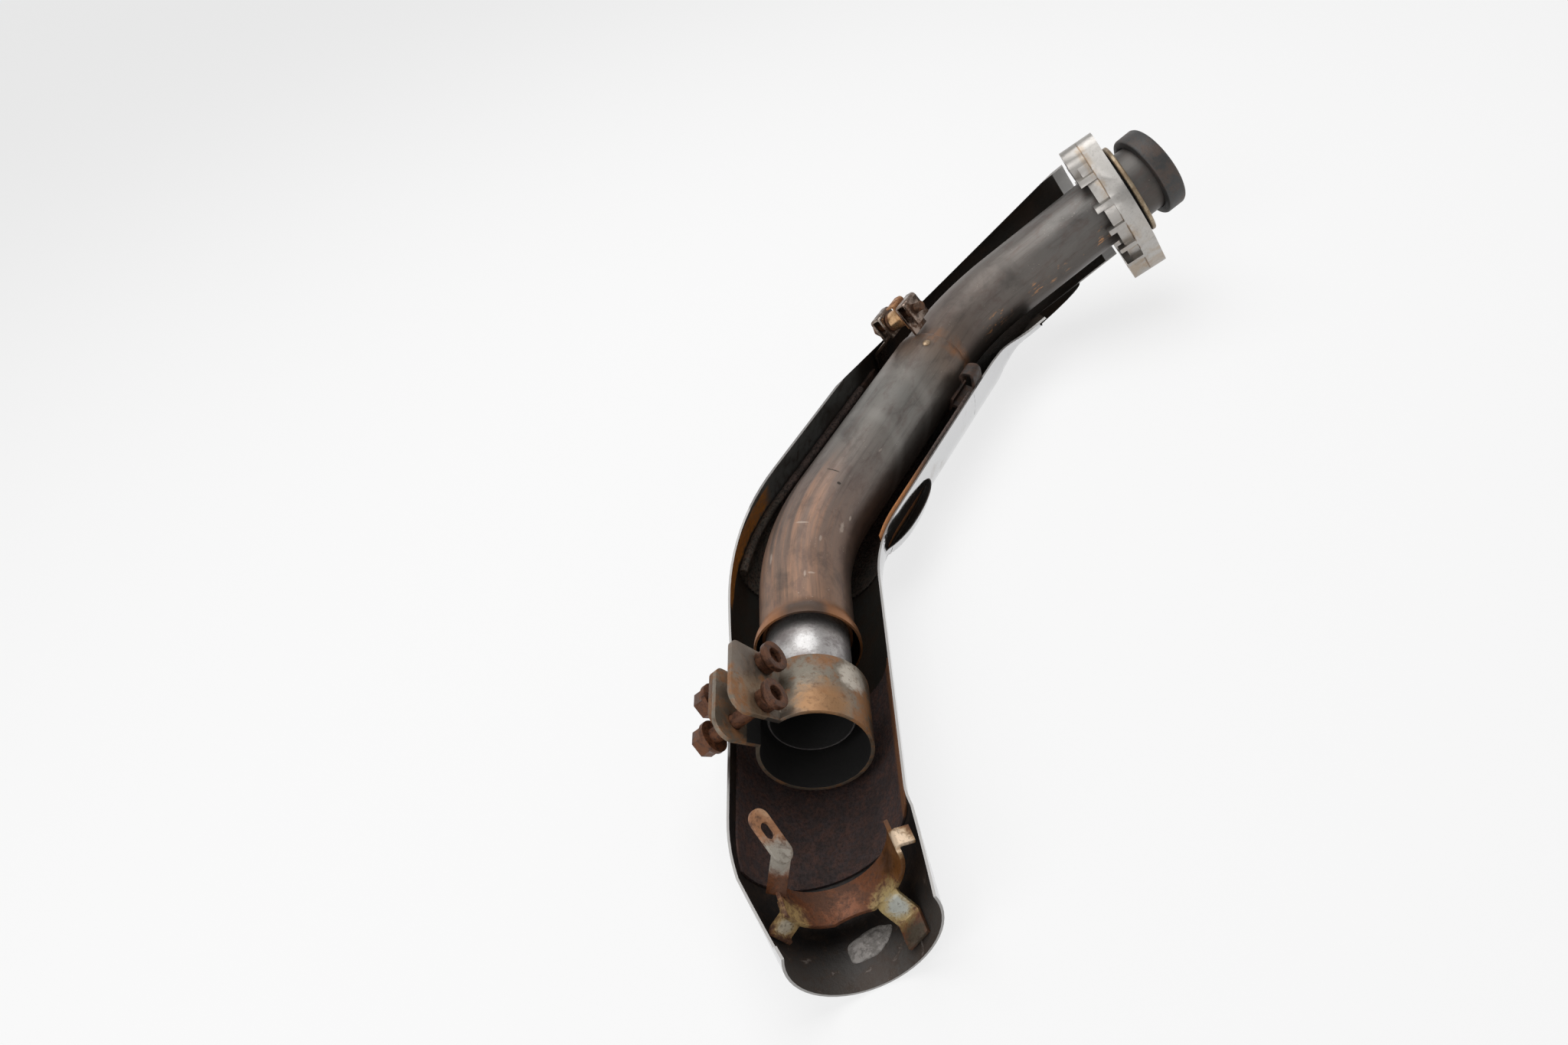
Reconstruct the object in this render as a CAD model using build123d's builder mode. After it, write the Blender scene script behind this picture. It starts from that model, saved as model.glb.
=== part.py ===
from build123d import *
from math import cos, radians, sin, sqrt, tan
import os

os.makedirs("parts", exist_ok=True)

# Run of the pipe as it lies, show side down: x right, y from the outlet to the head, z up
outlet_leg = 132.0  # spigot mouth to the lower bend's corner
middle_leg = 245.0  # lower bend's corner to the upper bend's corner
port_leg = 166.0  # upper bend's corner to the collar's front face
tail_leg = 62.0  # spigot mouth to the shield's last corner
tail_end = 62.0  # last corner to the shield's end
middle_heading = 30.0  # degrees to the right of the outlet leg
port_heading = 71.0
port_rise = 18.5
tail_turn = 15.0
outlet_bend = 150.0  # bend radii on the centre line
port_bend = 90.0
tail_bend = 80.0

# Tubes
tube_od = 48.0
tube_wall = 1.6
tube_short = 8.0  # tube end inside the flare
sleeve_gap = 0.2
sleeve_wall = 1.2
sleeve_start = 57.0  # below the upper bend's corner
flare_od = 57.0
flare_length = 14.0
flare_lip = 2.8  # straight end of the flare
spigot_od = 44.45
spigot_wall = 1.5
spigot_reach = 49.0  # bare length beyond the flare
spigot_grip = 26.0  # length inside the tube
spigot_edge = 1.0
weld_gap = 0.1  # between pieces that are pressed or welded together

# Head end
collar_od = 60.0
collar_length = 14.0
collar_round = 2.0
collar_edge = 0.8
ring_od = 65.0
ring_play = 1.5  # round the tube
ring_id = tube_od + 2 * ring_play
ring_thickness = 3.5
ring_edge = 0.8
ring_back = 23.0  # behind the collar's front face
ring_yaw = 13.0  # turned a little on the stub
flange_back = 28.0
flange_plate = 12.0
flange_depth = 24.0
flange_body_od = 76.0
flange_ear_od = 24.0
flange_bore = 61.0
flange_seat_od = 66.0
flange_seat_depth = 3.0
stud_spacing = 82.0
stud_hole = 9.0
flange_turn = 14.0  # long axis, degrees from hanging straight down
flange_yaw = 14.0
rib_count = 5
rib_pitch = 17.0
rib_thickness = 3.6
rib_relief = 4.0
rib_stand = 4.5  # ribs behind the body

# Heat shield
guard_od = 85.4
guard_wall = 1.2
guard_start = 57.0  # behind the collar's front face
guard_lead = 13.0  # sheet before it, cut along the flange
guard_clear = 1.5  # between flange and shield
guard_right = 86.0  # rims, degrees from straight up
guard_left = 57.0
low_rim = 1.0  # left rim's height beside the clamp
rim_ramp = 30.0  # where it starts to fall, above the lower bend's corner
rim_lean = 30.0  # slope of the straight cut across the upper bend
rim_cut_end = 120.0  # below the upper bend's corner
bare_length = 66.0  # run behind the head with no right wall
ramp_length = 53.0  # run in which the right wall reaches its full height
tail_od = 72.0
taper_gap = 3.0  # from the last bend to the narrowing tail
scoop_length = 90.0
scoop_depth = 15.0
scoop_sink = 1.0
scoop_mouth_length = 79.0
scoop_mouth_depth = 11.25
scoop_angle = 100.0
scoop_back = 48.0  # above the lower bend's corner

# Inner sheets
liner_wall = 1.0
liner_gap = 0.2
liner_start = 89.0  # below the upper bend's corner
liner_stop = 8.0  # below the lower bend's corner
liner_right = 88.0  # rims, degrees from straight up
liner_left = 92.0
hem_od = 5.0
tail_liner_start = 40.0  # before the spigot's mouth
tail_liner_stop = 4.0  # past the shield's last corner
tail_liner_rim = 100.0

# Cradle and strap at the sleeve's start
cradle_at = 76.0
cradle_width = 22.0
cradle_seat_rim = 100.0  # rims and webs, degrees from straight up
cradle_foot_rim = 92.0
cradle_web = 110.0
hook_width = 12.0
hook_rise = 12.0
hook_reach = 8.0
hook_drop = 6.0
hook_bend = 3.0
sheet = 2.0
strap_at = 53.0
strap_angle = 30.0  # bolt's place, left of straight up
strap_height = 38.0  # bolt above the tube's axis
strap_bolt_od = 6.0
strap_bolt_hex = 10.0
strap_bolt_head = 4.0
strap_washer_wall = 1.8
seat_gap = 0.3
clip_width = 16.0
clip_fold = 7.0
clip_rise = 8.0
clip_sheet = 1.8
clip_bend = 80.0  # clip's foot on the shield, degrees left of straight up
clip_end = 100.0
leaf_wall = 1.4
leaf_width = 14.0
leaf_rise = 10.5
barrel_od = 13.0
barrel_length = 10.8

# Saddle at the tail
saddle_at = 26.0
saddle_od = 59.0
saddle_width = 19.0
saddle_right = 82.0  # ends of the cradle, degrees from straight up
saddle_left = 104.0
arch_od = 46.0
arch_depth = 2.0
right_foot = 143.0
left_foot = 243.0
foot_width = 13.0
right_turn = 2.0  # where a foot turns out, past the saddle's lower edge
left_turn = -3.0
right_slope = 6.0  # run in which a foot drops to the shield
left_slope = 3.0
right_pad = 13.0
left_pad = 3.0
neck_run = (6.5, 8.0, 15.5)  # from the saddle's left end to the lug
neck_width = 9.0
neck_lean = 35.0
lug_run = (-7.2, 10.4, 10.8)  # from the neck to the lug's tip
lug_facing = 107.0
lug_lean = 45.0
lug_width = 10.5
lug_slot = 5.5
lug_slot_length = 2.8
lug_hole_at = 11.0
tab_root = 8.0  # degrees below and above the saddle's right end
tab_turn = 4.0
tab_reach = 8.0
tab_start = 8.0  # below the saddle's upper edge
tab_width = 9.0
tab_rise = 4.5

# Muffler clamp
band_od = 58.0
band_wall = 2.0
band_length = 38.0
band_at = 3.0  # band's middle before the spigot's mouth
ear_angle = 30.0
ear_right = 1.5
ear_left = -15.0
nut_ear_top = 61.0
head_ear_top = 53.0
ear_wall = 2.5
ear_skew = 6.0  # slant of the ears' upstream edge
ear_flare = 14.0  # and of their downstream edge
ear_corner = 5.0
ear_round = 9.0
plate_length = 35.0
plate_low = 30.0
plate_corner = 6.0
bolt_height = 40.0
bolt_spacing = 25.0
bolt_shift = 3.0  # downstream of the band's middle
bolt_od = 8.0
bolt_hex = 13.0
bolt_head = 9.0
bolt_collar_od = 17.0
bolt_collar_wall = 2.4
bolt_slack = 8.8  # heads stand off the plate, the clamp is loose
bolt_end = 6.0  # past the nut's seat
bolt_play = 0.3
nut_od = 12.0
nut_lip_od = 16.0
nut_neck = 4.5
nut_cone = 1.5
nut_length = 9.0


def aim(heading, rise=0.0):
    flat = cos(radians(rise))
    return Vector(sin(radians(heading)) * flat, cos(radians(heading)) * flat, sin(radians(rise)))


up = Vector(0, 0, 1)
mouth = Vector(0, 0, 0)
outlet_corner = mouth + aim(0) * outlet_leg
port_corner = outlet_corner + aim(middle_heading) * middle_leg
port = port_corner + aim(port_heading, port_rise) * port_leg
tail_corner = mouth - aim(0) * tail_leg
outlet_flow = aim(0) * -1
middle_flow = aim(middle_heading) * -1
port_flow = aim(port_heading, port_rise) * -1
tail_flow = aim(-tail_turn) * -1
port_up = up.rotate(Axis((0, 0, 0), middle_flow.cross(port_flow)), middle_flow.get_angle(port_flow))


# Section planes: x right, y out of the shield's open side, z downstream
def section(start, flow, opening, distance):
    return Plane(origin=start + flow * distance, x_dir=opening.cross(flow), z_dir=flow)


def port_at(distance):
    return section(port, port_flow, port_up, distance)


def middle_at(distance):
    return section(port_corner, middle_flow, up, distance)


def outlet_at(distance):
    return section(outlet_corner, outlet_flow, up, distance)


def tail_at(distance):
    return section(tail_corner, tail_flow, up, distance)


# Plane on a round wall: x downstream, y round the wall to the right, z outwards
def wall_at(plane, angle, radius):
    out = plane.x_dir * sin(radians(angle)) + plane.y_dir * cos(radians(angle))
    return Plane(origin=plane.origin + out * radius, x_dir=plane.z_dir, z_dir=out)


# Point in a section plane from an angle and a radius
def wall_point(angle, radius):
    return (radius * sin(radians(angle)), radius * cos(radians(angle)))


# Plane for a turned profile: x is the radius, y is along the axis
def profile(plane):
    return Plane(origin=plane.origin, x_dir=plane.x_dir, z_dir=plane.x_dir.cross(plane.z_dir))


def lathe(plane, *points, mode=Mode.ADD):
    with BuildSketch(profile(plane)) as turned:
        with BuildLine():
            Polyline(*points, close=True)
        make_face()
    revolve(turned.sketch, axis=Axis(plane.origin, plane.z_dir), mode=mode)


def round_bar(plane, od, length, mode=Mode.ADD):
    with BuildSketch(plane) as end:
        Circle(od / 2)
    extrude(end.sketch, amount=length, mode=mode)


# Outline of a bent strip in a section plane, from one angle round the closed side to the other
def bent_strip(radius, wall, right, left):
    sweep_angle = -(360 - right - left)
    with BuildLine() as strip:
        outer = CenterArc((0, 0), radius, 90 - right, sweep_angle)
        inner = CenterArc((0, 0), radius - wall, 90 - right, sweep_angle)
        Line(outer @ 0, inner @ 0)
        Line(outer @ 1, inner @ 1)
    make_face(strip.edges())


sleeve_od = tube_od + 2 * sleeve_gap + 2 * sleeve_wall
flare_end = outlet_leg - spigot_reach
guard_inner = guard_od / 2 - guard_wall
taper_start = tail_bend * tan(radians(tail_turn / 2)) + taper_gap

# Tube that carries the gas
with BuildPart() as header_tube:
    with BuildLine() as tube_line:
        FilletPolyline(
            port, port_corner, outlet_corner, outlet_at(flare_end - tube_short).origin,
            radius=[port_bend, outlet_bend],
        )
    with BuildSketch(port_at(0)):
        Circle(tube_od / 2)
        Circle(tube_od / 2 - tube_wall, mode=Mode.SUBTRACT)
    sweep(path=tube_line.wires()[0])

# Outer sleeve with its flared end
with BuildPart() as outer_sleeve:
    with BuildLine() as sleeve_line:
        FilletPolyline(
            middle_at(sleeve_start).origin, outlet_corner, outlet_at(flare_end - flare_length).origin,
            radius=outlet_bend,
        )
    with BuildSketch(middle_at(sleeve_start)):
        Circle(sleeve_od / 2)
        Circle(sleeve_od / 2 - sleeve_wall, mode=Mode.SUBTRACT)
    sweep(path=sleeve_line.wires()[0])
    lathe(
        outlet_at(flare_end - flare_length),
        (sleeve_od / 2, 0),
        (flare_od / 2, flare_length - flare_lip),
        (flare_od / 2, flare_length),
        (flare_od / 2 - sleeve_wall, flare_length),
        (flare_od / 2 - sleeve_wall, flare_length - flare_lip),
        (sleeve_od / 2 - sleeve_wall, 0),
    )

# Slip end
spigot_length = tube_short + spigot_grip + spigot_reach
with BuildPart() as outlet_spigot:
    spigot_bore = spigot_od / 2 - spigot_wall
    lathe(
        outlet_at(outlet_leg - spigot_length),
        (spigot_bore, 0),
        (spigot_od / 2, 0),
        (spigot_od / 2, spigot_length - spigot_edge),
        (spigot_od / 2 - spigot_edge / 2, spigot_length),
        (spigot_bore, spigot_length),
    )

# Collar welded on the head end
with BuildPart() as port_collar:
    collar_bore = tube_od / 2 + weld_gap
    lathe(
        port_at(0),
        (collar_bore, 0),
        (collar_od / 2 - collar_round, 0),
        (collar_od / 2 - collar_round / 3, collar_round / 3),
        (collar_od / 2, collar_round),
        (collar_od / 2, collar_length - collar_edge),
        (collar_od / 2 - collar_edge, collar_length),
        (collar_bore, collar_length),
    )

# Ring and flange hang turned on the stub, so each bore touches it near the top
down = up * -1
hang = (down - port_flow * down.dot(port_flow)).normalized()


# How far a turned bore hangs below the tube's axis
def hang_drop(bore, depth, yaw):
    reach = bore / 2 * cos(radians(yaw)) - tube_od / 2 - weld_gap
    return sqrt(reach**2 - (depth / 2 * sin(radians(yaw))) ** 2)


# Front plane of a piece that hangs on the stub: x along its long axis, z downstream
def hung_plane(front, bore, depth, turn, yaw):
    long_axis = hang.rotate(Axis((0, 0, 0), port_flow), turn)
    middle = port + port_flow * (front + depth / 2) + hang * hang_drop(bore, depth, yaw)
    return Plane(
        origin=middle, x_dir=long_axis, z_dir=port_flow.rotate(Axis((0, 0, 0), long_axis), yaw)
    ).offset(-depth / 2)


with BuildPart() as retaining_ring:
    lathe(
        hung_plane(ring_back, ring_id, ring_thickness, flange_turn, ring_yaw),
        (ring_id / 2, 0),
        (ring_od / 2 - ring_edge, 0),
        (ring_od / 2, ring_edge),
        (ring_od / 2, ring_thickness - ring_edge),
        (ring_od / 2 - ring_edge, ring_thickness),
        (ring_id / 2, ring_thickness),
    )

# Cast flange: smooth plate in front, ribs across the back
flange_plane = hung_plane(flange_back, flange_bore, flange_depth, flange_turn, flange_yaw)


def flange_outline(relief):
    Circle(flange_body_od / 2 - relief)
    with Locations((stud_spacing / 2, 0), (-stud_spacing / 2, 0)):
        Circle(flange_ear_od / 2 - relief / 2)
    make_hull()


with BuildPart() as flange_ribs:
    with BuildSketch(flange_plane):
        with GridLocations(rib_pitch, 0, rib_count, 1):
            Rectangle(rib_thickness, flange_body_od * 2)
    extrude(amount=flange_depth)
    with BuildSketch(flange_plane):
        flange_outline(0)
    extrude(amount=flange_depth, mode=Mode.INTERSECT)

with BuildPart() as head_flange:
    with BuildSketch(flange_plane):
        flange_outline(0)
    extrude(amount=flange_plate)
    with BuildSketch(flange_plane):
        flange_outline(rib_relief)
    extrude(amount=flange_depth - rib_stand)
    add(flange_ribs.part)
    with BuildSketch(flange_plane):
        with Locations((stud_spacing / 2, 0), (-stud_spacing / 2, 0)):
            Circle(flange_ear_od / 2)
    extrude(amount=flange_depth)
    with BuildSketch(flange_plane):
        Circle(flange_bore / 2)
        with Locations((stud_spacing / 2, 0), (-stud_spacing / 2, 0)):
            Circle(stud_hole / 2)
    extrude(amount=flange_depth, mode=Mode.SUBTRACT)
    round_bar(flange_plane, flange_seat_od, flange_seat_depth, mode=Mode.SUBTRACT)

# Half-dome of the scoop, on the closed side of a plane through its middle
scoop_plane = wall_at(middle_at(middle_leg - scoop_back), scoop_angle, guard_od / 2 - scoop_sink)
scoop_side = Plane(origin=scoop_plane.origin, x_dir=scoop_plane.x_dir, z_dir=scoop_plane.y_dir * -1)


def half_dome(length, depth, mode=Mode.ADD):
    with BuildSketch(scoop_side) as dome:
        Ellipse(length / 2, depth)
        Rectangle(length * 2, depth * 2, align=(Align.CENTER, Align.MAX), mode=Mode.SUBTRACT)
    scoop_axis = Axis(scoop_plane.origin, scoop_plane.x_dir * -1)
    revolve(dome.sketch, axis=scoop_axis, revolution_arc=180, mode=mode)


with BuildPart() as scoop:
    half_dome(scoop_length, scoop_depth)
    half_dome(scoop_length - 2 * guard_wall, scoop_depth - guard_wall, mode=Mode.SUBTRACT)
    with BuildLine() as core_line:
        FilletPolyline(
            middle_at(middle_leg - scoop_back - scoop_length).origin, outlet_corner,
            outlet_at(scoop_length).origin, radius=outlet_bend,
        )
    with BuildSketch(middle_at(middle_leg - scoop_back - scoop_length)):
        Circle(guard_od / 2 - guard_wall / 2)
    sweep(path=core_line.wires()[0], mode=Mode.SUBTRACT)

# Tail of the shield: narrows on a level belly
rim_height = guard_od / 2 * cos(radians(guard_right))
tail_drop = (guard_od - tail_od) / 2

with BuildPart() as guard_tail:
    for wall, mode in ((0, Mode.ADD), (guard_wall, Mode.SUBTRACT)):
        with BuildSketch(tail_at(taper_start)) as wide_end:
            Circle(guard_od / 2 - wall)
        with BuildSketch(tail_at(tail_end)) as narrow_end:
            with Locations((0, -tail_drop)):
                Circle(tail_od / 2 - wall)
        loft([wide_end.sketch, narrow_end.sketch], mode=mode)
    split(bisect_by=Plane(origin=mouth + up * rim_height, z_dir=up), keep=Keep.BOTTOM)

# Heat shield: half-round sheet along the whole run
with BuildPart() as heat_shield:
    with BuildLine() as guard_line:
        FilletPolyline(
            port_at(guard_start - guard_lead).origin, port_corner, outlet_corner, tail_corner,
            tail_at(taper_start).origin, radius=[port_bend, outlet_bend, tail_bend],
        )
    with BuildSketch(port_at(guard_start - guard_lead)):
        bent_strip(guard_od / 2, guard_wall, guard_right, guard_left)
    sweep(path=guard_line.wires()[0])
    add(guard_tail.part)
    # head end is cut along the flange's back
    split(bisect_by=flange_plane.offset(flange_depth + guard_clear), keep=Keep.TOP)
    # left rim is cut straight across the outside of the upper bend
    cut_top = wall_at(port_at(guard_start), -guard_left, guard_od / 2).origin
    cut_foot = wall_at(middle_at(rim_cut_end), -guard_left, guard_od / 2).origin
    cut_run = (cut_foot - cut_top).normalized()
    cut_out = cut_run.cross(aim(180, rim_lean)).normalized()
    with BuildSketch(Plane(origin=(cut_top + cut_foot) * 0.5, x_dir=cut_run, z_dir=cut_out)):
        Rectangle((cut_foot - cut_top).length, guard_od * 3)
    extrude(amount=guard_od, mode=Mode.SUBTRACT)
    # right wall is cut away behind the head and rises in the upper bend
    start_plane = port_at(guard_start)
    right_side = Plane(origin=start_plane.origin, x_dir=port_flow, z_dir=start_plane.x_dir * -1)
    with BuildSketch(right_side.offset(-guard_od)):
        with BuildLine():
            Polyline(
                (-guard_lead, -guard_od / 2 - guard_wall),
                (bare_length, guard_wall - guard_od / 2),
                (bare_length + ramp_length, rim_height + guard_wall),
                (bare_length + ramp_length, guard_od),
                (-guard_lead, guard_od),
                close=True,
            )
        make_face()
    extrude(amount=guard_od, mode=Mode.SUBTRACT)
    # left rim is lower beside the clamp
    left_side = Plane(origin=outlet_corner, x_dir=outlet_flow, z_dir=outlet_at(0).x_dir * -1)
    left_rim = guard_od / 2 * cos(radians(guard_left))
    guard_reach = outlet_leg + tail_leg + tail_end
    with BuildSketch(left_side.offset(tube_od / 4)):
        with BuildLine():
            Polyline(
                (-rim_ramp, left_rim + 2 * guard_wall), (flare_end - flare_length, low_rim),
                (guard_reach, low_rim), (guard_reach, guard_od), (-rim_ramp, guard_od), close=True,
            )
        make_face()
    extrude(amount=guard_od, mode=Mode.SUBTRACT)
    half_dome(scoop_mouth_length, scoop_mouth_depth, mode=Mode.SUBTRACT)
    add(scoop.part)

# Rusty inner sheet with a rolled edge in the lower bend
liner_od = 2 * (guard_inner - liner_gap)
with BuildPart() as elbow_liner:
    with BuildLine() as liner_line:
        FilletPolyline(
            middle_at(liner_start).origin, outlet_corner, outlet_at(flare_end).origin, radius=outlet_bend
        )
    with BuildSketch(middle_at(liner_start)):
        bent_strip(liner_od / 2, liner_wall, liner_right, liner_left)
        with PolarLocations((liner_od - hem_od) / 2, 1, start_angle=90 + liner_left):
            Circle(hem_od / 2)
    sweep(path=liner_line.wires()[0])
    split(bisect_by=outlet_at(liner_stop), keep=Keep.BOTTOM)

# Rusty inner sheet at the tail
with BuildPart() as tail_liner:
    with BuildLine() as tail_line:
        FilletPolyline(
            outlet_at(outlet_leg - tail_liner_start).origin, tail_corner, tail_at(taper_start).origin,
            radius=tail_bend,
        )
    with BuildSketch(outlet_at(outlet_leg - tail_liner_start)):
        bent_strip(liner_od / 2, liner_wall, tail_liner_rim, tail_liner_rim)
    sweep(path=tail_line.wires()[0])
    split(bisect_by=tail_at(tail_liner_stop), keep=Keep.BOTTOM)

# Cradle between sleeve and shield, with the hook on the right
with BuildPart() as shield_cradle:
    with BuildSketch(middle_at(cradle_at - cradle_width / 2)):
        seat = sleeve_od / 2 + weld_gap
        foot = guard_inner - weld_gap
        bent_strip(seat + sheet, sheet, cradle_seat_rim, cradle_seat_rim)
        bent_strip(foot, sheet, cradle_foot_rim, 360 - cradle_web)
        bent_strip(foot, sheet, 360 - cradle_web, cradle_foot_rim)
        for angle in (cradle_web, 360 - cradle_web):
            with Locations(Location((0, 0), 90 - angle)):
                with Locations(((seat + foot) / 2, 0)):
                    Rectangle(foot - seat - sheet / 2, sheet)
    extrude(amount=cradle_width)
    hook_plane = wall_at(middle_at(cradle_at), 90, foot - sheet)
    hook_side = Plane(origin=hook_plane.origin, x_dir=hook_plane.z_dir, z_dir=hook_plane.x_dir)
    with BuildSketch(hook_side.offset(-hook_width / 2)):
        with BuildLine():
            FilletPolyline(
                (sheet / 2, -hook_bend), (sheet / 2, hook_rise), (sheet / 2 - hook_reach, hook_rise),
                (sheet / 2 - hook_reach, hook_rise - hook_drop), radius=hook_bend,
            )
        trace(line_width=sheet)
    extrude(amount=hook_width)

# Strap bolt and what it holds, at the shield's left rim
strap_plane = wall_at(middle_at(strap_at), -strap_angle, strap_height)
strap_axis = Plane(origin=strap_plane.origin, x_dir=strap_plane.x_dir, z_dir=strap_plane.y_dir)
strap_side = Plane(origin=strap_plane.origin, x_dir=strap_plane.y_dir, z_dir=strap_plane.x_dir)
strap_hole = strap_bolt_od + 2 * weld_gap

# Places along the bolt, from the barrel's middle
barrel_face = barrel_length / 2 + seat_gap
washer_face = barrel_face + strap_washer_wall + seat_gap
lug_near = -washer_face - clip_sheet / 2
lug_far = lug_near - clip_fold
head_face = lug_far - clip_sheet / 2 - seat_gap
leaf_at = barrel_face + leaf_wall / 2
end_near = leaf_at + leaf_wall / 2 + seat_gap + clip_sheet / 2
end_far = end_near + clip_fold


# Point beside the bolt from an angle and a radius about the tube
def strap_point(angle, radius):
    turn = radians(angle + strap_angle)
    return (radius * sin(turn), radius * cos(turn) - strap_height)


# Sheet bent along the points, drilled for the bolt
def drilled_strip(points, wall, width):
    with BuildSketch(strap_side.offset(-width / 2)) as edge:
        with BuildLine() as bend:
            FilletPolyline(*points, radius=clip_sheet)
        trace(bend.edges(), line_width=wall)
    extrude(edge.sketch, amount=width)
    drilled = end_far - lug_far + 2 * clip_fold
    round_bar(strap_axis.offset(lug_far - clip_fold), strap_hole, drilled, mode=Mode.SUBTRACT)


with BuildPart() as strap_lug:
    stem = guard_inner - clip_sheet
    drilled_strip(
        [
            (lug_near, -clip_width / 2), (lug_near, clip_rise), (lug_far, clip_rise),
            (lug_far, -clip_width / 2), strap_point(-clip_bend, stem), strap_point(-clip_end, stem),
        ],
        clip_sheet, clip_width,
    )

with BuildPart() as strap_end:
    end_foot = sqrt((sleeve_od / 2 + weld_gap) ** 2 - (end_near - clip_sheet / 2) ** 2) - strap_height
    drilled_strip(
        [(end_near, end_foot), (end_near, clip_rise), (end_far, clip_rise), (end_far, -clip_width / 2)],
        clip_sheet, clip_width,
    )

with BuildPart() as strap_leaf:
    drilled_strip(
        [(leaf_at - barrel_length / 2, leaf_rise), (leaf_at, leaf_rise), (leaf_at, -clip_width / 2)],
        leaf_wall, leaf_width,
    )

with BuildPart() as strap_barrel:
    round_bar(strap_axis.offset(-barrel_length / 2), barrel_od, barrel_length)
    round_bar(strap_axis.offset(-barrel_length / 2), strap_hole, barrel_length, mode=Mode.SUBTRACT)

with BuildPart() as strap_washer:
    washer_plane = strap_axis.offset(-barrel_face - strap_washer_wall)
    round_bar(washer_plane, barrel_od, strap_washer_wall)
    round_bar(washer_plane, strap_hole, strap_washer_wall, mode=Mode.SUBTRACT)

with BuildPart() as strap_bolt:
    round_bar(strap_axis.offset(head_face), strap_bolt_od, end_far + strap_bolt_od - head_face)
    with BuildSketch(strap_axis.offset(head_face)):
        RegularPolygon(strap_bolt_hex / 2, 6, major_radius=False)
    extrude(amount=-strap_bolt_head)

# Saddle at the tail: cradle, leaning lug with its slot, tab and two feet
saddle_mid = saddle_od / 2 - sheet / 2
saddle_top = saddle_at - saddle_width / 2
saddle_foot = saddle_at + saddle_width / 2
feet = (
    (right_foot, right_turn, right_slope, right_pad),
    (left_foot, left_turn, left_slope, left_pad),
)


# Inside of the shield's tail at a distance past the corner and an angle from straight up
def tail_inner(distance, angle):
    share = (distance - taper_start) / (tail_end - taper_start)
    return guard_inner - share * tail_drop * (1 + cos(radians(angle)))


# Plane of a flat leaf at the middle of its run: y along the run, z to the side it faces
def leaf_plane(root, run, facing):
    along = Vector(*run).normalized()
    face = (facing - along * facing.dot(along)).normalized()
    return Plane(origin=root + Vector(*run) * 0.5, x_dir=along.cross(face), z_dir=face)


with BuildPart() as tail_saddle:
    with BuildSketch(tail_at(saddle_top)):
        bent_strip(saddle_od / 2, sheet, saddle_right, saddle_left)
    extrude(amount=saddle_width)
    # arch between the feet
    arch_plane = wall_at(tail_at(saddle_foot + arch_od / 2 - arch_depth), 180, 0)
    round_bar(arch_plane, arch_od, saddle_od, mode=Mode.SUBTRACT)
    for angle, turn, slope, pad in feet:
        foot_plane = wall_at(tail_at(0), angle, 0)
        side = Plane(origin=foot_plane.origin, x_dir=foot_plane.x_dir, z_dir=foot_plane.y_dir * -1)
        bend = saddle_foot + turn
        step = bend + slope
        seat = sheet + 2 * seat_gap
        with BuildSketch(side.offset(-foot_width / 2)):
            with BuildLine():
                FilletPolyline(
                    (bend - 3 * sheet, saddle_mid),
                    (bend, saddle_mid),
                    (step, tail_inner(step, angle) - seat),
                    (step + pad, tail_inner(step + pad, angle) - seat),
                    radius=sheet,
                )
            trace(line_width=sheet)
        extrude(amount=foot_width)
    # lug stands on a neck at the saddle's left end, turned to the right
    lug_root = wall_at(tail_at(saddle_top + neck_width / 2), -saddle_left, saddle_mid).origin
    lug_knee = lug_root + Vector(*neck_run)
    with BuildSketch(leaf_plane(lug_root, neck_run, aim(180, neck_lean))):
        Rectangle(neck_width, Vector(*neck_run).length + 2 * sheet)
    extrude(amount=sheet / 2, both=True)
    with BuildSketch(leaf_plane(lug_knee, lug_run, aim(lug_facing, lug_lean))):
        SlotCenterToCenter(Vector(*lug_run).length, lug_width, rotation=90)
        with Locations((0, lug_hole_at - Vector(*lug_run).length / 2)):
            SlotCenterToCenter(lug_slot_length, lug_slot, rotation=90, mode=Mode.SUBTRACT)
    extrude(amount=sheet / 2, both=True)
    # tab turned outwards on the right
    with BuildSketch(tail_at(saddle_top + tab_start)):
        with BuildLine():
            FilletPolyline(
                wall_point(saddle_right + tab_root, saddle_mid),
                wall_point(saddle_right - tab_turn, saddle_mid),
                (saddle_mid + tab_reach, tab_rise), radius=sheet,
            )
        trace(line_width=sheet)
    extrude(amount=tab_width)

# Muffler clamp, hanging open on the spigot
band_drop = band_od / 2 - band_wall - spigot_od / 2 - weld_gap
band_plane = section(outlet_corner + down * band_drop, outlet_flow, up, outlet_leg - band_at)
ear_plane = wall_at(band_plane, -ear_angle, 0)
across = ear_plane.y_dir


# Plane facing along the clamp bolts: x downstream, y outwards, z towards the bolt heads
def ear_at(distance):
    return Plane(origin=band_plane.origin + across * distance, x_dir=outlet_flow, z_dir=across * -1)


bolt_places = [(bolt_shift + side * bolt_spacing / 2, bolt_height) for side in (-1, 1)]
ears = ((ear_right + ear_wall, ear_right, nut_ear_top), (ear_left, ear_left, head_ear_top))
head_seat = ear_left - 2 * ear_wall - weld_gap - bolt_slack

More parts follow.
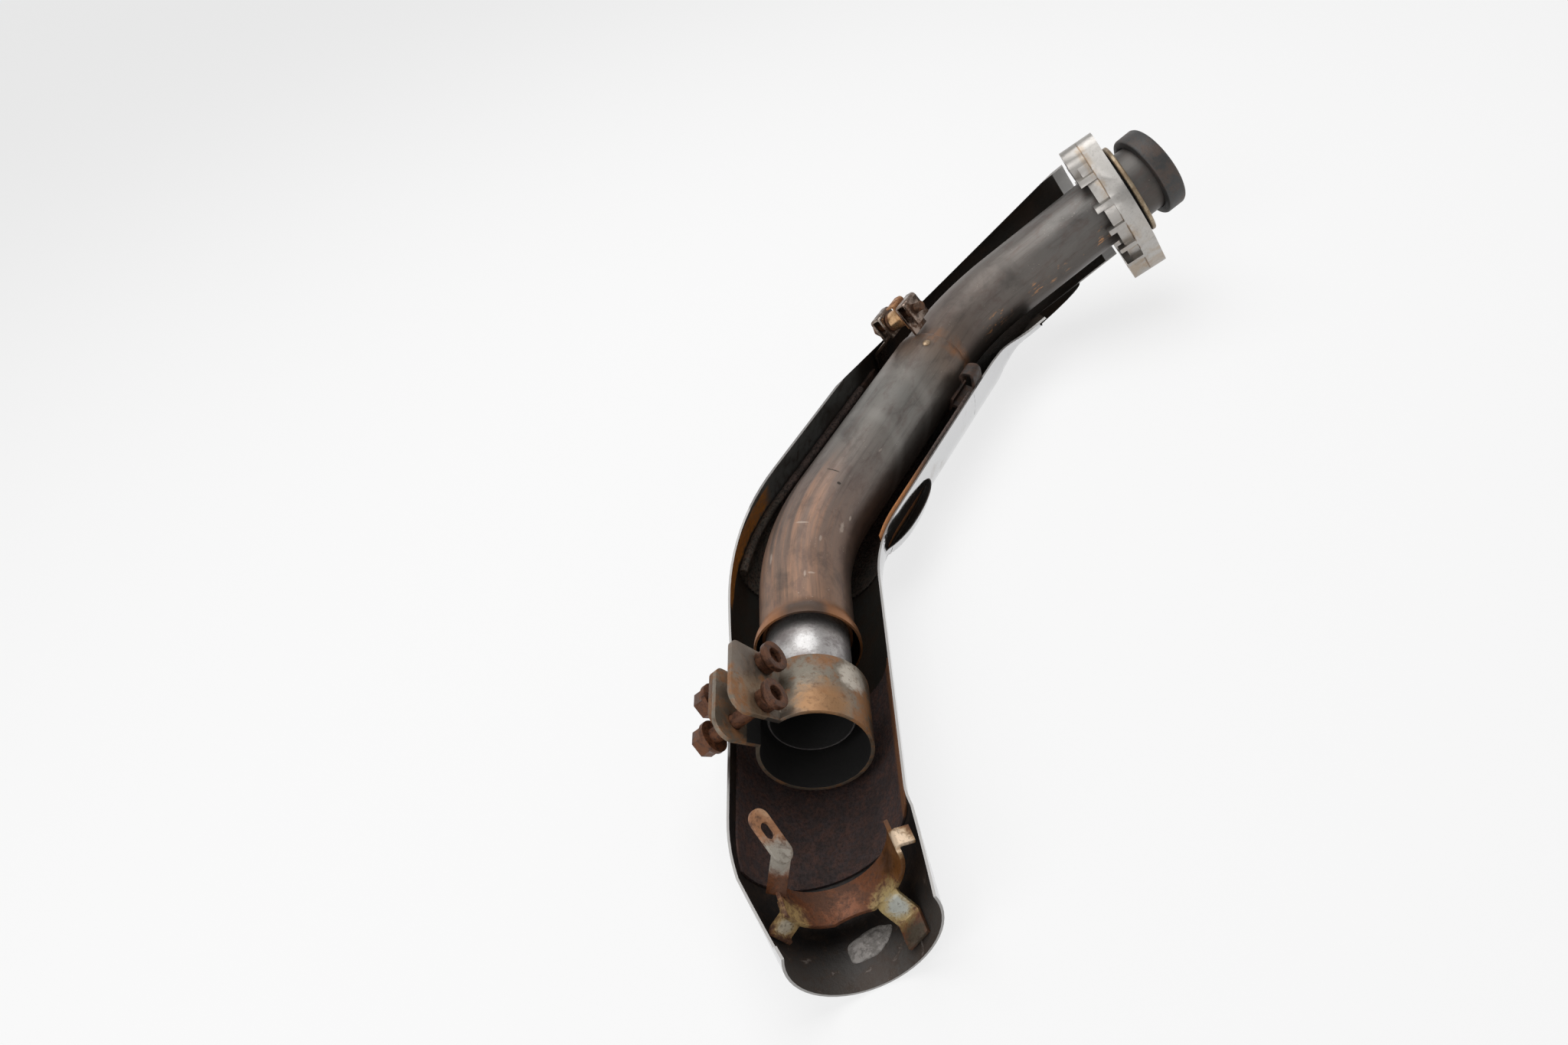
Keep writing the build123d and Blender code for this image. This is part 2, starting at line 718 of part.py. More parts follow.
with BuildPart() as clamp_band:
    with BuildSketch(Plane(origin=band_plane.origin, x_dir=across, z_dir=outlet_flow)):
        Circle(band_od / 2)
        Circle(band_od / 2 - band_wall, mode=Mode.SUBTRACT)
        with Locations(((ear_left + ear_right) / 2, band_od / 2)):
            Rectangle(ear_right - ear_left, band_od, mode=Mode.SUBTRACT)
    extrude(amount=band_length / 2, both=True)
    for outer, inner, top in ears:
        low = sqrt((band_od / 2 - band_wall) ** 2 - inner**2)
        with BuildSketch(ear_at(outer)) as ear:
            with BuildLine():
                Polyline(
                    (-band_length / 2, low), (band_length / 2, low),
                    (band_length / 2 + ear_flare, top), (-band_length / 2 + ear_skew, top), close=True,
                )
            make_face()
            fillet(ear.vertices().group_by(Axis.Y)[-1].sort_by(Axis.X)[0], ear_corner)
            fillet(ear.vertices().group_by(Axis.Y)[-1].sort_by(Axis.X)[-1], ear_round)
        extrude(amount=ear_wall)
    with BuildSketch(ear_at(ear_right + ear_wall)):
        with Locations(*bolt_places):
            Circle(bolt_od / 2 + bolt_play)
    extrude(amount=ear_right - ear_left + 2 * ear_wall, mode=Mode.SUBTRACT)

with BuildPart() as clamp_plate:
    with BuildSketch(ear_at(ear_left - ear_wall - weld_gap)) as stiffener:
        with Locations((bolt_shift, (plate_low + head_ear_top) / 2)):
            Rectangle(plate_length, head_ear_top - plate_low)
        fillet(stiffener.vertices(), plate_corner)
        with Locations(*bolt_places):
            Circle(bolt_od / 2 + bolt_play, mode=Mode.SUBTRACT)
    extrude(amount=ear_wall)

with BuildPart() as clamp_nuts:
    nut_base = ear_at(ear_right + ear_wall + weld_gap)
    nut_bore = bolt_od / 2 + weld_gap
    for place in bolt_places:
        lathe(
            Plane(origin=nut_base.from_local_coords((*place, 0)), x_dir=outlet_flow, z_dir=across),
            (nut_bore, 0),
            (nut_od / 2, 0),
            (nut_od / 2, nut_neck),
            (nut_lip_od / 2, nut_neck + nut_cone),
            (nut_lip_od / 2, nut_length),
            (nut_bore, nut_length),
        )

with BuildPart() as clamp_bolts:
    for place in bolt_places:
        spot = ear_at(head_seat).from_local_coords((*place, 0))
        head_plane = Plane(origin=spot, x_dir=outlet_flow, z_dir=across * -1)
        round_bar(head_plane, bolt_collar_od, bolt_collar_wall)
        with BuildSketch(head_plane):
            RegularPolygon(bolt_hex / 2, 6, major_radius=False)
        extrude(amount=bolt_head)
        round_bar(head_plane, bolt_od, head_seat - ear_right - ear_wall - bolt_end)

# Labels and files
header_tube.part.label = "header_tube"
outer_sleeve.part.label = "outer_sleeve"
outlet_spigot.part.label = "outlet_spigot"
port_collar.part.label = "port_collar"
retaining_ring.part.label = "retaining_ring"
head_flange.part.label = "head_flange"
heat_shield.part.label = "heat_shield"
elbow_liner.part.label = "elbow_liner"
tail_liner.part.label = "tail_liner"
shield_cradle.part.label = "shield_cradle"
strap_lug.part.label = "strap_lug"
strap_end.part.label = "strap_end"
strap_leaf.part.label = "strap_leaf"
strap_barrel.part.label = "strap_barrel"
strap_washer.part.label = "strap_washer"
strap_bolt.part.label = "strap_bolt"
tail_saddle.part.label = "tail_saddle"
clamp_band.part.label = "clamp_band"
clamp_plate.part.label = "clamp_plate"
clamp_nuts.part.label = "clamp_nuts"
clamp_bolts.part.label = "clamp_bolts"

export_step(header_tube.part, "parts/header_tube.step")
export_step(outer_sleeve.part, "parts/outer_sleeve.step")
export_step(outlet_spigot.part, "parts/outlet_spigot.step")
export_step(port_collar.part, "parts/port_collar.step")
export_step(retaining_ring.part, "parts/retaining_ring.step")
export_step(head_flange.part, "parts/head_flange.step")
export_step(heat_shield.part, "parts/heat_shield.step")
export_step(elbow_liner.part, "parts/elbow_liner.step")
export_step(tail_liner.part, "parts/tail_liner.step")
export_step(shield_cradle.part, "parts/shield_cradle.step")
export_step(strap_lug.part, "parts/strap_lug.step")
export_step(strap_end.part, "parts/strap_end.step")
export_step(strap_leaf.part, "parts/strap_leaf.step")
export_step(strap_barrel.part, "parts/strap_barrel.step")
export_step(strap_washer.part, "parts/strap_washer.step")
export_step(strap_bolt.part, "parts/strap_bolt.step")
export_step(tail_saddle.part, "parts/tail_saddle.step")
export_step(clamp_band.part, "parts/clamp_band.step")
export_step(clamp_plate.part, "parts/clamp_plate.step")
export_step(clamp_nuts.part, "parts/clamp_nuts.step")
export_step(clamp_bolts.part, "parts/clamp_bolts.step")
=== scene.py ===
import bpy
import bmesh
import math
import numpy as np
from mathutils import Matrix, Vector, noise
from mathutils.bvhtree import BVHTree


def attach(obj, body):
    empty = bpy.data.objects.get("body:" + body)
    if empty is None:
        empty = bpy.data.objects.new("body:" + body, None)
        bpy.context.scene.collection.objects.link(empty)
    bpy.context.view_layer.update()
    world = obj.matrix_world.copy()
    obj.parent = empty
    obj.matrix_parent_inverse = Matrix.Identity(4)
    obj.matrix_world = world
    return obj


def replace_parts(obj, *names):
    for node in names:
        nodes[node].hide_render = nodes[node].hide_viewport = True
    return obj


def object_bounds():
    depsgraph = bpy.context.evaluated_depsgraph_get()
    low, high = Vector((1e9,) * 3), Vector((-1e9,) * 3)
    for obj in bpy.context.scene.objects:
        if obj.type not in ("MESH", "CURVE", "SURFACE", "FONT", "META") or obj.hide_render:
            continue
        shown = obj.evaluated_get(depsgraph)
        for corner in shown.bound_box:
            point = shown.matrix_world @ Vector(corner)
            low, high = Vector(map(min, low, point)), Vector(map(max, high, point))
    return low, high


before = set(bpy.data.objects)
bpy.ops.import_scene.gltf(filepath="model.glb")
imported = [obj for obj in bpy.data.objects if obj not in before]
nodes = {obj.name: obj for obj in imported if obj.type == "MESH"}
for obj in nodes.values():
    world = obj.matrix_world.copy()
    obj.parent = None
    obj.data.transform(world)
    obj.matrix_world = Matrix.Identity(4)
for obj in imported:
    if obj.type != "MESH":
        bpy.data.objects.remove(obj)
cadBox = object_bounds()
print("frame loaded,", len(nodes), "nodes")

# the pipe's run as it lies, in metres and degrees
pipeRun = {
    "outletLeg": .132, "middleLeg": .245, "portLeg": .166, "tailLeg": .062, "tailEnd": .075,
    "middleHeading": 30, "portHeading": 71, "portRise": 18.5, "tailTurn": 15,
    "outletBend": .150, "portBend": .090, "tailBend": .080, "step": .003,
}


def aim(heading, rise=0):
    h, r = math.radians(heading), math.radians(rise)
    return Vector((math.sin(h) * math.cos(r), math.cos(h) * math.cos(r), math.sin(r)))


# stations down the centre line, from the head to the shield's end
def layRun(d):
    outletCorner = aim(0) * d["outletLeg"]
    portCorner = outletCorner + aim(d["middleHeading"]) * d["middleLeg"]
    port = portCorner + aim(d["portHeading"], d["portRise"]) * d["portLeg"]
    tailCorner = aim(0) * -d["tailLeg"]
    tailTip = tailCorner - aim(-d["tailTurn"]) * d["tailEnd"]
    corners = [port, portCorner, outletCorner, tailCorner, tailTip]
    radii = [0, d["portBend"], d["outletBend"], d["tailBend"], 0]
    flows = [(b - a).normalized() for a, b in zip(corners, corners[1:])]
    up = Vector((0, 0, 1))
    up.rotate(flows[1].rotation_difference(flows[0]))
    rows = []
    run = 0.0
    spot = corners[0]
    for i, flow in enumerate(flows):
        turn = flows[i].angle(flows[i + 1]) if i + 1 < len(flows) else 0
        cut = radii[i + 1] * math.tan(turn / 2)
        end = corners[i + 1] - flow * cut
        leg = (end - spot).length
        count = max(2, int(leg / d["step"]))
        for k in range(count):
            rows.append((spot.lerp(end, k / count), flow.copy(), up.copy(), run + leg * k / count))
        run += leg
        spot = end
        if turn:
            radius = radii[i + 1]
            axis = flow.cross(flows[i + 1]).normalized()
            toCentre = axis.cross(flow)
            centre = end + toCentre * radius
            count = max(4, int(radius * turn / d["step"]))
            upStart = up.copy()
            for k in range(count + 1):
                spin = Matrix.Rotation(turn * k / count, 3, axis)
                up = spin @ upStart
                if k < count:
                    place = centre - spin @ toCentre * radius
                    rows.append((place, spin @ flow, up.copy(), run + radius * turn * k / count))
            run += radius * turn
            spot = corners[i + 1] + flows[i + 1] * cut
    rows.append((spot.copy(), flows[-1].copy(), up.copy(), run))
    return rows


stations = layRun(pipeRun)
spots = np.array([r[0] for r in stations])
flowDirs = np.array([r[1] for r in stations])
upDirs = np.array([r[2] for r in stations])
rightDirs = np.cross(upDirs, flowDirs)
runs = np.array([r[3] for r in stations])
print("run laid,", len(stations), "stations,", round(runs[-1], 3), "m")


# each point's nearest station, worked out in batches to save memory
def nearest(points, batch=2000):
    result = np.zeros(len(points), int)
    for i in range(0, len(points), batch):
        part = points[i:i + batch]
        result[i:i + batch] = ((part[:, None, :] - spots[None]) ** 2).sum(2).argmin(1)
    return result


# where points would lie if the run were pulled straight: along, right, up
def straighten(points):
    near = nearest(points)
    off = points - spots[near]
    run = runs[near] + (off * flowDirs[near]).sum(1)
    return np.stack([run, (off * rightDirs[near]).sum(1), (off * upDirs[near]).sum(1)], axis=1)


def runOf(point):
    return straighten(np.array([point]))[0][0]


# point on the run from its distance, the angle from straight up to the right and the radius
def onRun(run, angle, radius):
    i = min(int(np.searchsorted(runs, run, side="right")) - 1, len(runs) - 1)
    a = math.radians(angle)
    out = rightDirs[i] * math.sin(a) + upDirs[i] * math.cos(a)
    return spots[i] + flowDirs[i] * (run - runs[i]) + out * radius


# the same place when the run is pulled straight
def onStraight(run, angle, radius):
    a = math.radians(angle)
    return (run, radius * math.sin(a), radius * math.cos(a))


# marks for the stains: place along the straight run, and how far each face looks away from the pipe
def markMesh(mesh):
    co = np.zeros(len(mesh.vertices) * 3)
    mesh.vertices.foreach_get("co", co)
    mark = mesh.attributes.new("straight", "FLOAT_VECTOR", "POINT")
    mark.data.foreach_set("vector", straighten(co.reshape(-1, 3)).astype(np.float32).ravel())
    centres = np.array([p.center for p in mesh.polygons])
    normals = np.array([p.normal for p in mesh.polygons])
    near = nearest(centres)
    off = centres - spots[near]
    off -= flowDirs[near] * (off * flowDirs[near]).sum(1)[:, None]
    off /= np.linalg.norm(off, axis=1)[:, None] + 1e-9
    facing = mesh.attributes.new("facing", "FLOAT", "FACE")
    facing.data.foreach_set("value", (off * normals).sum(1).astype(np.float32))


# a piece with its finish, marked for stains; edges sharper than the given angle stay sharp
def addOn(name, mesh, finish, smooth=35):
    bm = bmesh.new()
    bm.from_mesh(mesh)
    bmesh.ops.recalc_face_normals(bm, faces=bm.faces)
    bm.to_mesh(mesh)
    bm.free()
    mesh.shade_smooth()
    mesh.set_sharp_from_angle(angle=math.radians(smooth))
    markMesh(mesh)
    piece = bpy.data.objects.new(name, mesh)
    bpy.context.scene.collection.objects.link(piece)
    mesh.materials.clear()
    mesh.materials.append(finish)
    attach(piece, "root")
    return piece


# a piece that shows in place of a solid
def seat(name, mesh, node, finish, smooth=35):
    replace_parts(addOn(name, mesh, finish, smooth), node)


# copy of a solid, with its edges softened where a width is given
def softened(node, width=0, sharpest=28):
    mesh = nodes[node].data.copy()
    bm = bmesh.new()
    bm.from_mesh(mesh)
    bmesh.ops.remove_doubles(bm, verts=bm.verts, dist=1e-6)
    if width:
        bmesh.ops.dissolve_limit(bm, angle_limit=math.radians(1), verts=bm.verts, edges=bm.edges)
        limit = math.radians(sharpest)
        sharp = [e for e in bm.edges if len(e.link_faces) == 2 and e.calc_face_angle() > limit]
        bmesh.ops.bevel(
            bm, geom=sharp, offset=width, segments=2, profile=.5, affect="EDGES", clamp_overlap=True,
        )
    bm.to_mesh(mesh)
    bm.free()
    return mesh


def meshOf(name, points, faces):
    mesh = bpy.data.meshes.new(name)
    mesh.from_pydata(points, [], faces)
    return mesh


# faces between pairs of rings
def ringFaces(pairs, around):
    faces = []
    for i, j in pairs:
        for k in range(around):
            m = (k + 1) % around
            faces.append((i * around + k, i * around + m, j * around + m, j * around + k))
    return faces


# slides a copy's points round, along or off the run by a rule
def reshape(mesh, rule):
    co = np.zeros(len(mesh.vertices) * 3)
    mesh.vertices.foreach_get("co", co)
    co = co.reshape(-1, 3)
    near = nearest(co)
    run, right, up = straighten(co).T
    angle = np.degrees(np.arctan2(right, up)) % 360
    newRun, newAngle, newRadius = rule(run, angle, np.hypot(right, up))
    turn = np.radians(newAngle)
    co += flowDirs[near] * (newRun - run)[:, None]
    co += rightDirs[near] * (newRadius * np.sin(turn) - right)[:, None]
    co += upDirs[near] * (newRadius * np.cos(turn) - up)[:, None]
    mesh.vertices.foreach_set("co", co.astype(np.float32).ravel())
    mesh.update()
    return mesh


def smoothStep(value, low, high):
    share = np.clip((value - low) / (high - low), 0, 1)
    return share * share * (3 - 2 * share)


# shader helpers
def put(t, kind, **values):
    node = t.nodes.new("ShaderNode" + kind)
    for key, value in values.items():
        setattr(node, key, value)
    return node


def feed(t, socket, value):
    if isinstance(value, bpy.types.NodeSocket):
        t.links.new(value, socket)
    elif isinstance(value, tuple) and socket.type == "RGBA":
        socket.default_value = (*value, 1)
    else:
        socket.default_value = value


def objectPlace(t):
    return put(t, "TexCoord").outputs["Object"]


def straightPlace(t):
    return put(t, "Attribute", attribute_name="straight").outputs["Vector"]


def stretch(t, place, *scale):
    node = put(t, "VectorMath", operation="MULTIPLY")
    feed(t, node.inputs[0], place)
    node.inputs[1].default_value = scale
    return node.outputs[0]


def axes(t, place):
    node = put(t, "SeparateXYZ")
    feed(t, node.inputs[0], place)
    return node.outputs


def grain(t, place, scale, detail, rough, warp=0):
    node = put(t, "TexNoise")
    feed(t, node.inputs["Vector"], place)
    node.inputs["Scale"].default_value = scale
    node.inputs["Detail"].default_value = detail
    node.inputs["Roughness"].default_value = rough
    node.inputs["Distortion"].default_value = warp
    return node.outputs[0]


def edge(t, value, low, high):
    node = put(t, "MapRange", interpolation_type="SMOOTHSTEP")
    feed(t, node.inputs[0], value)
    node.inputs[1].default_value = low
    node.inputs[2].default_value = high
    return node.outputs[0]


def calc(t, operation, a, b=0.0):
    node = put(t, "Math", operation=operation)
    feed(t, node.inputs[0], a)
    feed(t, node.inputs[1], b)
    return node.outputs[0]


def both(t, *values):
    result = values[0]
    for value in values[1:]:
        result = calc(t, "MULTIPLY", result, value)
    return result


# colour laid over another where all the shares are high
def paint(t, under, over, *shares):
    node = put(t, "Mix", data_type="RGBA")
    feed(t, node.inputs[0], both(t, *shares))
    feed(t, node.inputs[6], under)
    feed(t, node.inputs[7], over)
    return node.outputs[2]


# value made ragged by a noise
def sway(t, value, ragged, amount):
    return calc(t, "ADD", value, calc(t, "MULTIPLY", calc(t, "SUBTRACT", ragged, .5), amount))


def ramp(t, value, *stops):
    node = put(t, "ValToRGB")
    feed(t, node.inputs[0], value)
    points = node.color_ramp.elements
    while len(points) < len(stops):
        points.new(1)
    for point, (place, colour) in zip(points, stops):
        point.position = place
        point.color = (*colour, 1)
    return node.outputs[0]


def span(t, value, low, high, start=0.0, end=1.0):
    node = put(t, "MapRange")
    feed(t, node.inputs[0], value)
    for socket, number in zip(node.inputs[1:5], (low, high, start, end)):
        socket.default_value = number
    return node.outputs[0]


def bump(t, height, distance, strength):
    node = put(t, "Bump")
    node.inputs["Strength"].default_value = strength
    node.inputs["Distance"].default_value = distance
    feed(t, node.inputs["Height"], height)
    return node.outputs[0]


def newFinish(name):
    material = bpy.data.materials.new(name)
    material.use_nodes = True
    return material, material.node_tree, material.node_tree.nodes["Principled BSDF"]


def dressShader(t, shader, colour, metal, rough, normal):
    feed(t, shader.inputs["Base Color"], colour)
    feed(t, shader.inputs["Metallic"], metal)
    feed(t, shader.inputs["Roughness"], rough)
    feed(t, shader.inputs["Normal"], normal)


def facingMark(t):
    return put(t, "Attribute", attribute_name="facing").outputs["Fac"]


def less(t, value):
    return calc(t, "SUBTRACT", 1.0, value)


# distance from a point in a direction
def along(t, place, start, direction):
    node = put(t, "VectorMath", operation="DOT_PRODUCT")
    shift = put(t, "VectorMath", operation="SUBTRACT")
    feed(t, shift.inputs[0], place)
    shift.inputs[1].default_value = start
    feed(t, node.inputs[0], shift.outputs[0])
    node.inputs[1].default_value = direction
    return node.outputs["Value"]


# ragged stain round a spot
def stainMask(t, place, spot, radius, *ragged):
    away = put(t, "VectorMath", operation="DISTANCE")
    feed(t, away.inputs[0], place)
    away.inputs[1].default_value = spot
    distance = away.outputs["Value"]
    for pattern in ragged:
        distance = sway(t, distance, pattern, radius * 1.3)
    return less(t, edge(t, distance, radius * .4, radius * 1.05))


# distance from the pipe's middle line
def reach(t, right, up):
    return calc(t, "SQRT", calc(t, "ADD", calc(t, "MULTIPLY", right, right), calc(t, "MULTIPLY", up, up)))


# band across a value, with soft sides
def stripe(t, value, low, high, soft):
    return both(t, edge(t, value, low - soft, low), less(t, edge(t, value, high, high + soft)))


# worn metal: two mixed colours, mottling, stains at given spots, specks, and soot and painted shade on faces
# that look inwards
def metalFinish(name, d):
    material, t, shader = newFinish(name)
    place = objectPlace(t)
    cloud = grain(t, place, d["cloud"], 5, .62, .3)
    mottle = grain(t, place, d["cloud"] * 3.5, 5, .68, .4)
    speck = grain(t, place, d["speck"], 4, .65)
    mixed = edge(t, sway(t, cloud, mottle, .6), d["share"] - .12, d["share"] + .12)
    colour = paint(t, d["base"], d["second"], mixed)
    for spot, radius, stain, force in d.get("stains", ()):
        colour = paint(t, colour, stain, stainMask(t, place, spot, radius, cloud, mottle), force)
    colour = paint(t, colour, d["dark"], edge(t, mottle, .5, .75), d["specks"] * .7)
    colour = paint(t, colour, d["dark"], edge(t, speck, .54, .68), d["specks"])
    metal = span(t, mixed, 0, 1, *d["metal"])
    rough = span(t, mixed, 0, 1, *d["rough"])
    # near black on faces that look inwards: soot inside bores, painted shade on the ring's faces and inside
    # the clamp band
    if "sootAndShade" in d:
        hidden = less(t, edge(t, facingMark(t), d["sootAndShadeBelow"], d["sootAndShadeBelow"] + .1))
        if "shadeWithin" in d:
            run, right, up = axes(t, straightPlace(t))
            hidden = both(t, hidden, less(t, edge(t, reach(t, right, up), *d["shadeWithin"])))
        colour = paint(t, colour, d["sootAndShade"], hidden)
        metal = both(t, metal, less(t, hidden))
        rough = calc(t, "MAXIMUM", rough, both(t, hidden, .75))
    dressShader(t, shader, colour, metal, rough, bump(t, calc(t, "ADD", speck, mottle), d["depth"], .6))
    return material


# a softened copy of a solid in worn metal
def dress(name, node, width, finish, d):
    seat(name, softened(node, width), node, metalFinish(finish, d))


# heat-stained pipe: grey at the head, brown, blue-grey in the middle, copper at the lower bend
pipeLook = {
    "length": .5, "wander": .022, "radius": .0254,
    "zones": (
        (0, (.10, .093, .086)), (.12, (.16, .152, .143)), (.26, (.17, .152, .138)), (.36, (.165, .137, .12)),
        (.43, (.16, .122, .1)), (.47, (.2, .152, .12)), (.51, (.205, .183, .162)), (.57, (.205, .196, .18)),
        (.65, (.2, .183, .165)), (.72, (.2, .163, .143)), (.8, (.225, .163, .133)), (.9, (.25, .165, .123)),
        (.955, (.25, .15, .1)), (1, (.16, .085, .05)),
    ),
    "copper": (.45, .25, .155), "plum": (.12, .082, .072), "sootAndShade": (.055, .049, .045),
    "dark": (.06, .048, .041), "rust": (.36, .15, .055), "scuff": (.62, .53, .45), "fleck": (.5, .25, .11),
    "black": (.008, .0075, .007), "pale": (.36, .345, .32),
    "copperFrom": (.325, .42), "copperUntil": (.25, 1.15), "shadeFrom": (.75, 1.75),
    "arcs": (.266, .310), "arcWidth": .002, "arcBend": .008,
    "sleeveStart": .2195, "rustHalf": .002, "lip": (.4735, .4815), "lipShade": (-.1, .45),
    "fleckRun": (.06, .175), "fleckAngle": (1.28, 1.62), "weldAt": (.2306, 12.7), "weldStain": .0065,
    "scuffs": (
        (.412, 4, .0009, .0042), (.4047, 56, .006, .0018), (.4354, -35, .005, .0012),
        (.4235, 31, .003, .0009), (.333, 47, .003, .0008), (.4555, 12, .0035, .0008),
        (.392, 63, .0025, .001), (.455, 20, .0008, .0022),
    ),
    "scratches": ((.364, 10.6, .0006, .0045), (.3725, 27, .0012, .0014)),
}


# worn dash on the pipe, from its half length along the run and half width across
def dashMask(t, run, angle, dash, radius, ragged):
    spot, turn, long, wide = dash
    a = calc(t, "DIVIDE", calc(t, "SUBTRACT", run, spot), long)
    b = calc(t, "DIVIDE", calc(t, "SUBTRACT", angle, math.radians(turn)), wide / radius)
    away = calc(t, "ADD", calc(t, "MULTIPLY", a, a), calc(t, "MULTIPLY", b, b))
    return less(t, edge(t, sway(t, away, ragged, 3), .2, 1.1))


def pipeFinish(name, d):
    material, t, shader = newFinish(name)
    place = straightPlace(t)
    run, right, up = axes(t, place)
    angle = calc(t, "ARCTAN2", right, up)
    cloud = grain(t, stretch(t, place, 16, 42, 42), 1, 5, .6)
    streak = grain(t, stretch(t, place, 6, 95, 95), 1, 5, .6)
    fineStreak = grain(t, stretch(t, place, 15, 380, 380), 1, 4, .62)
    smoke = grain(t, stretch(t, place, 26, 52, 52), 1, 6, .66, .5)
    mottle = grain(t, stretch(t, place, 70, 150, 150), 1, 6, .7, .4)
    dashes = grain(t, stretch(t, place, 120, 520, 520), 1, 3, .6)
    fine = grain(t, place, 1500, 3, .6)
    speck = grain(t, place, 800, 3, .62)
    patch = grain(t, place, 55, 3, .6)
    # heat colours along the run, copper streaks on the left of the lower bend
    wander = sway(t, run, cloud, d["wander"] * 2)
    colour = ramp(t, span(t, wander, 0, d["length"]), *d["zones"])
    leftSide = less(t, edge(t, angle, *d["copperUntil"]))
    copperZone = edge(t, wander, *d["copperFrom"])
    colour = paint(t, colour, d["copper"], edge(t, streak, .46, .66), copperZone, leftSide, .75)
    colour = paint(t, colour, d["copper"], edge(t, fineStreak, .52, .68), copperZone, leftSide, .4)
    # smoke, mottling and painted shade on the right side
    colour = paint(t, colour, d["sootAndShade"], edge(t, smoke, .48, .74), .55)
    colour = paint(t, colour, d["plum"], edge(t, mottle, .46, .7), .5)
    colour = paint(t, colour, d["sootAndShade"], less(t, edge(t, fineStreak, .32, .5)), .32)
    colour = paint(t, colour, d["dark"], edge(t, angle, *d["shadeFrom"]), .6)
    # pale arcs, rust at the sleeve's start and on the flared lip
    bent = calc(t, "SUBTRACT", run, calc(t, "MULTIPLY", calc(t, "MULTIPLY", angle, angle), d["arcBend"]))
    bent = calc(t, "ADD", bent, calc(t, "MULTIPLY", patch, .006))
    for arc in d["arcs"]:
        colour = paint(t, colour, d["pale"], stripe(t, bent, arc, arc + d["arcWidth"], .007), .2)
    start = sway(t, run, patch, .016)
    rustArc = stripe(t, start, d["sleeveStart"] - d["rustHalf"], d["sleeveStart"] + d["rustHalf"], .008)
    colour = paint(t, colour, d["rust"], rustArc, edge(t, smoke, .36, .6), .55)
    lip = edge(t, sway(t, run, patch, .01), *d["lip"])
    colour = paint(t, colour, d["rust"], lip, span(t, streak, .3, .6, .5, .95))
    # painted shade across the top of the flared lip
    colour = paint(t, colour, d["dark"], lip, stripe(t, angle, *d["lipShade"], .3), .85)
    # flecks, chips, scuffs and scratches
    flecks = both(t, stripe(t, run, *d["fleckRun"], .01), stripe(t, angle, *d["fleckAngle"], .12))
    colour = paint(t, colour, d["fleck"], flecks, edge(t, dashes, .55, .66), edge(t, patch, .42, .55), .8)
    colour = paint(t, colour, d["scuff"], edge(t, speck, .665, .70), edge(t, patch, .5, .64), .5)
    for dash in d["scuffs"]:
        colour = paint(t, colour, d["scuff"], dashMask(t, run, angle, dash, d["radius"], mottle), .4)
    for dash in d["scratches"]:
        colour = paint(t, colour, d["black"], dashMask(t, run, angle, dash, d["radius"], mottle), .8)
    # stain round the plug weld, black inside
    weldSpot = onStraight(*d["weldAt"], d["radius"])
    colour = paint(t, colour, d["dark"], stainMask(t, place, weldSpot, d["weldStain"], cloud), .55)
    hidden = less(t, edge(t, facingMark(t), -.3, -.2))
    colour = paint(t, colour, d["black"], hidden)
    rough = span(t, calc(t, "ADD", cloud, fineStreak), .7, 1.3, .36, .56)
    dressShader(t, shader, colour, both(t, less(t, hidden), .72), rough, bump(t, fine, .0002, .25))
    return material


tube = {"radius": .024, "wall": .0016, "short": .008}
sleeve = {
    "radius": .0254, "wall": .0012, "start": .057, "flareRadius": .0285, "flare": .014, "lip": .0028,
    "spigot": .049, "ease": .0012, "drop": .0007,
}


# swept tubes stand for the solids, so that stains can follow the run
def sweptTube(start, end, outer, inner, around=96):
    rings = [start, *[r for r in runs if start < r < end], end]
    loop = [(r, outer(r)) for r in rings] + [(r, inner(r)) for r in reversed(rings)]
    points = [tuple(onRun(run, 360 * k / around, radius)) for run, radius in loop for k in range(around)]
    pairs = [(i, (i + 1) % len(loop)) for i in range(len(loop))]
    return meshOf("swept", points, ringFaces(pairs, around))


portCornerSpot = aim(0) * pipeRun["outletLeg"] + aim(pipeRun["middleHeading"]) * pipeRun["middleLeg"]
sleeveStart = runOf(portCornerSpot - aim(pipeRun["middleHeading"]) * sleeve["start"])
flareEnd = runOf(aim(0) * sleeve["spigot"])


def sleeveOuter(run):
    rise = min(max((run - flareEnd + sleeve["flare"]) / (sleeve["flare"] - sleeve["lip"]), 0), 1)
    ease = min((run - sleeveStart) / sleeve["ease"], 1)
    flare = (sleeve["flareRadius"] - sleeve["radius"]) * rise * rise * (3 - 2 * rise)
    return sleeve["radius"] + flare - sleeve["drop"] * (1 - ease)


def sleeveInner(run):
    return sleeveOuter(max(run, sleeveStart + sleeve["ease"])) - sleeve["wall"]


def tubeOuter(run):
    return tube["radius"]


def tubeInner(run):
    return tube["radius"] - tube["wall"]


pipeMesh = sweptTube(0, flareEnd - tube["short"], tubeOuter, tubeInner)
seat("headerPipe", pipeMesh, "header_tube", pipeFinish("heatStainedPipe", pipeLook))
sleeveMesh = sweptTube(sleeveStart, flareEnd, sleeveOuter, sleeveInner)
seat("pipeSleeve", sleeveMesh, "outer_sleeve", pipeFinish("heatStainedSleeve", pipeLook))

# plug weld at the sleeve's start
plugWeld = {
    "radius": .0024, "height": .0011, "long": 1.35, "around": 20, "rings": 5,
    "base": (.42, .31, .2), "second": (.3, .2, .12), "dark": (.14, .09, .06), "share": .5,
    "cloud": 400, "speck": 1400, "specks": .4, "metal": (.7, .6), "rough": (.35, .5), "depth": .0001,
}


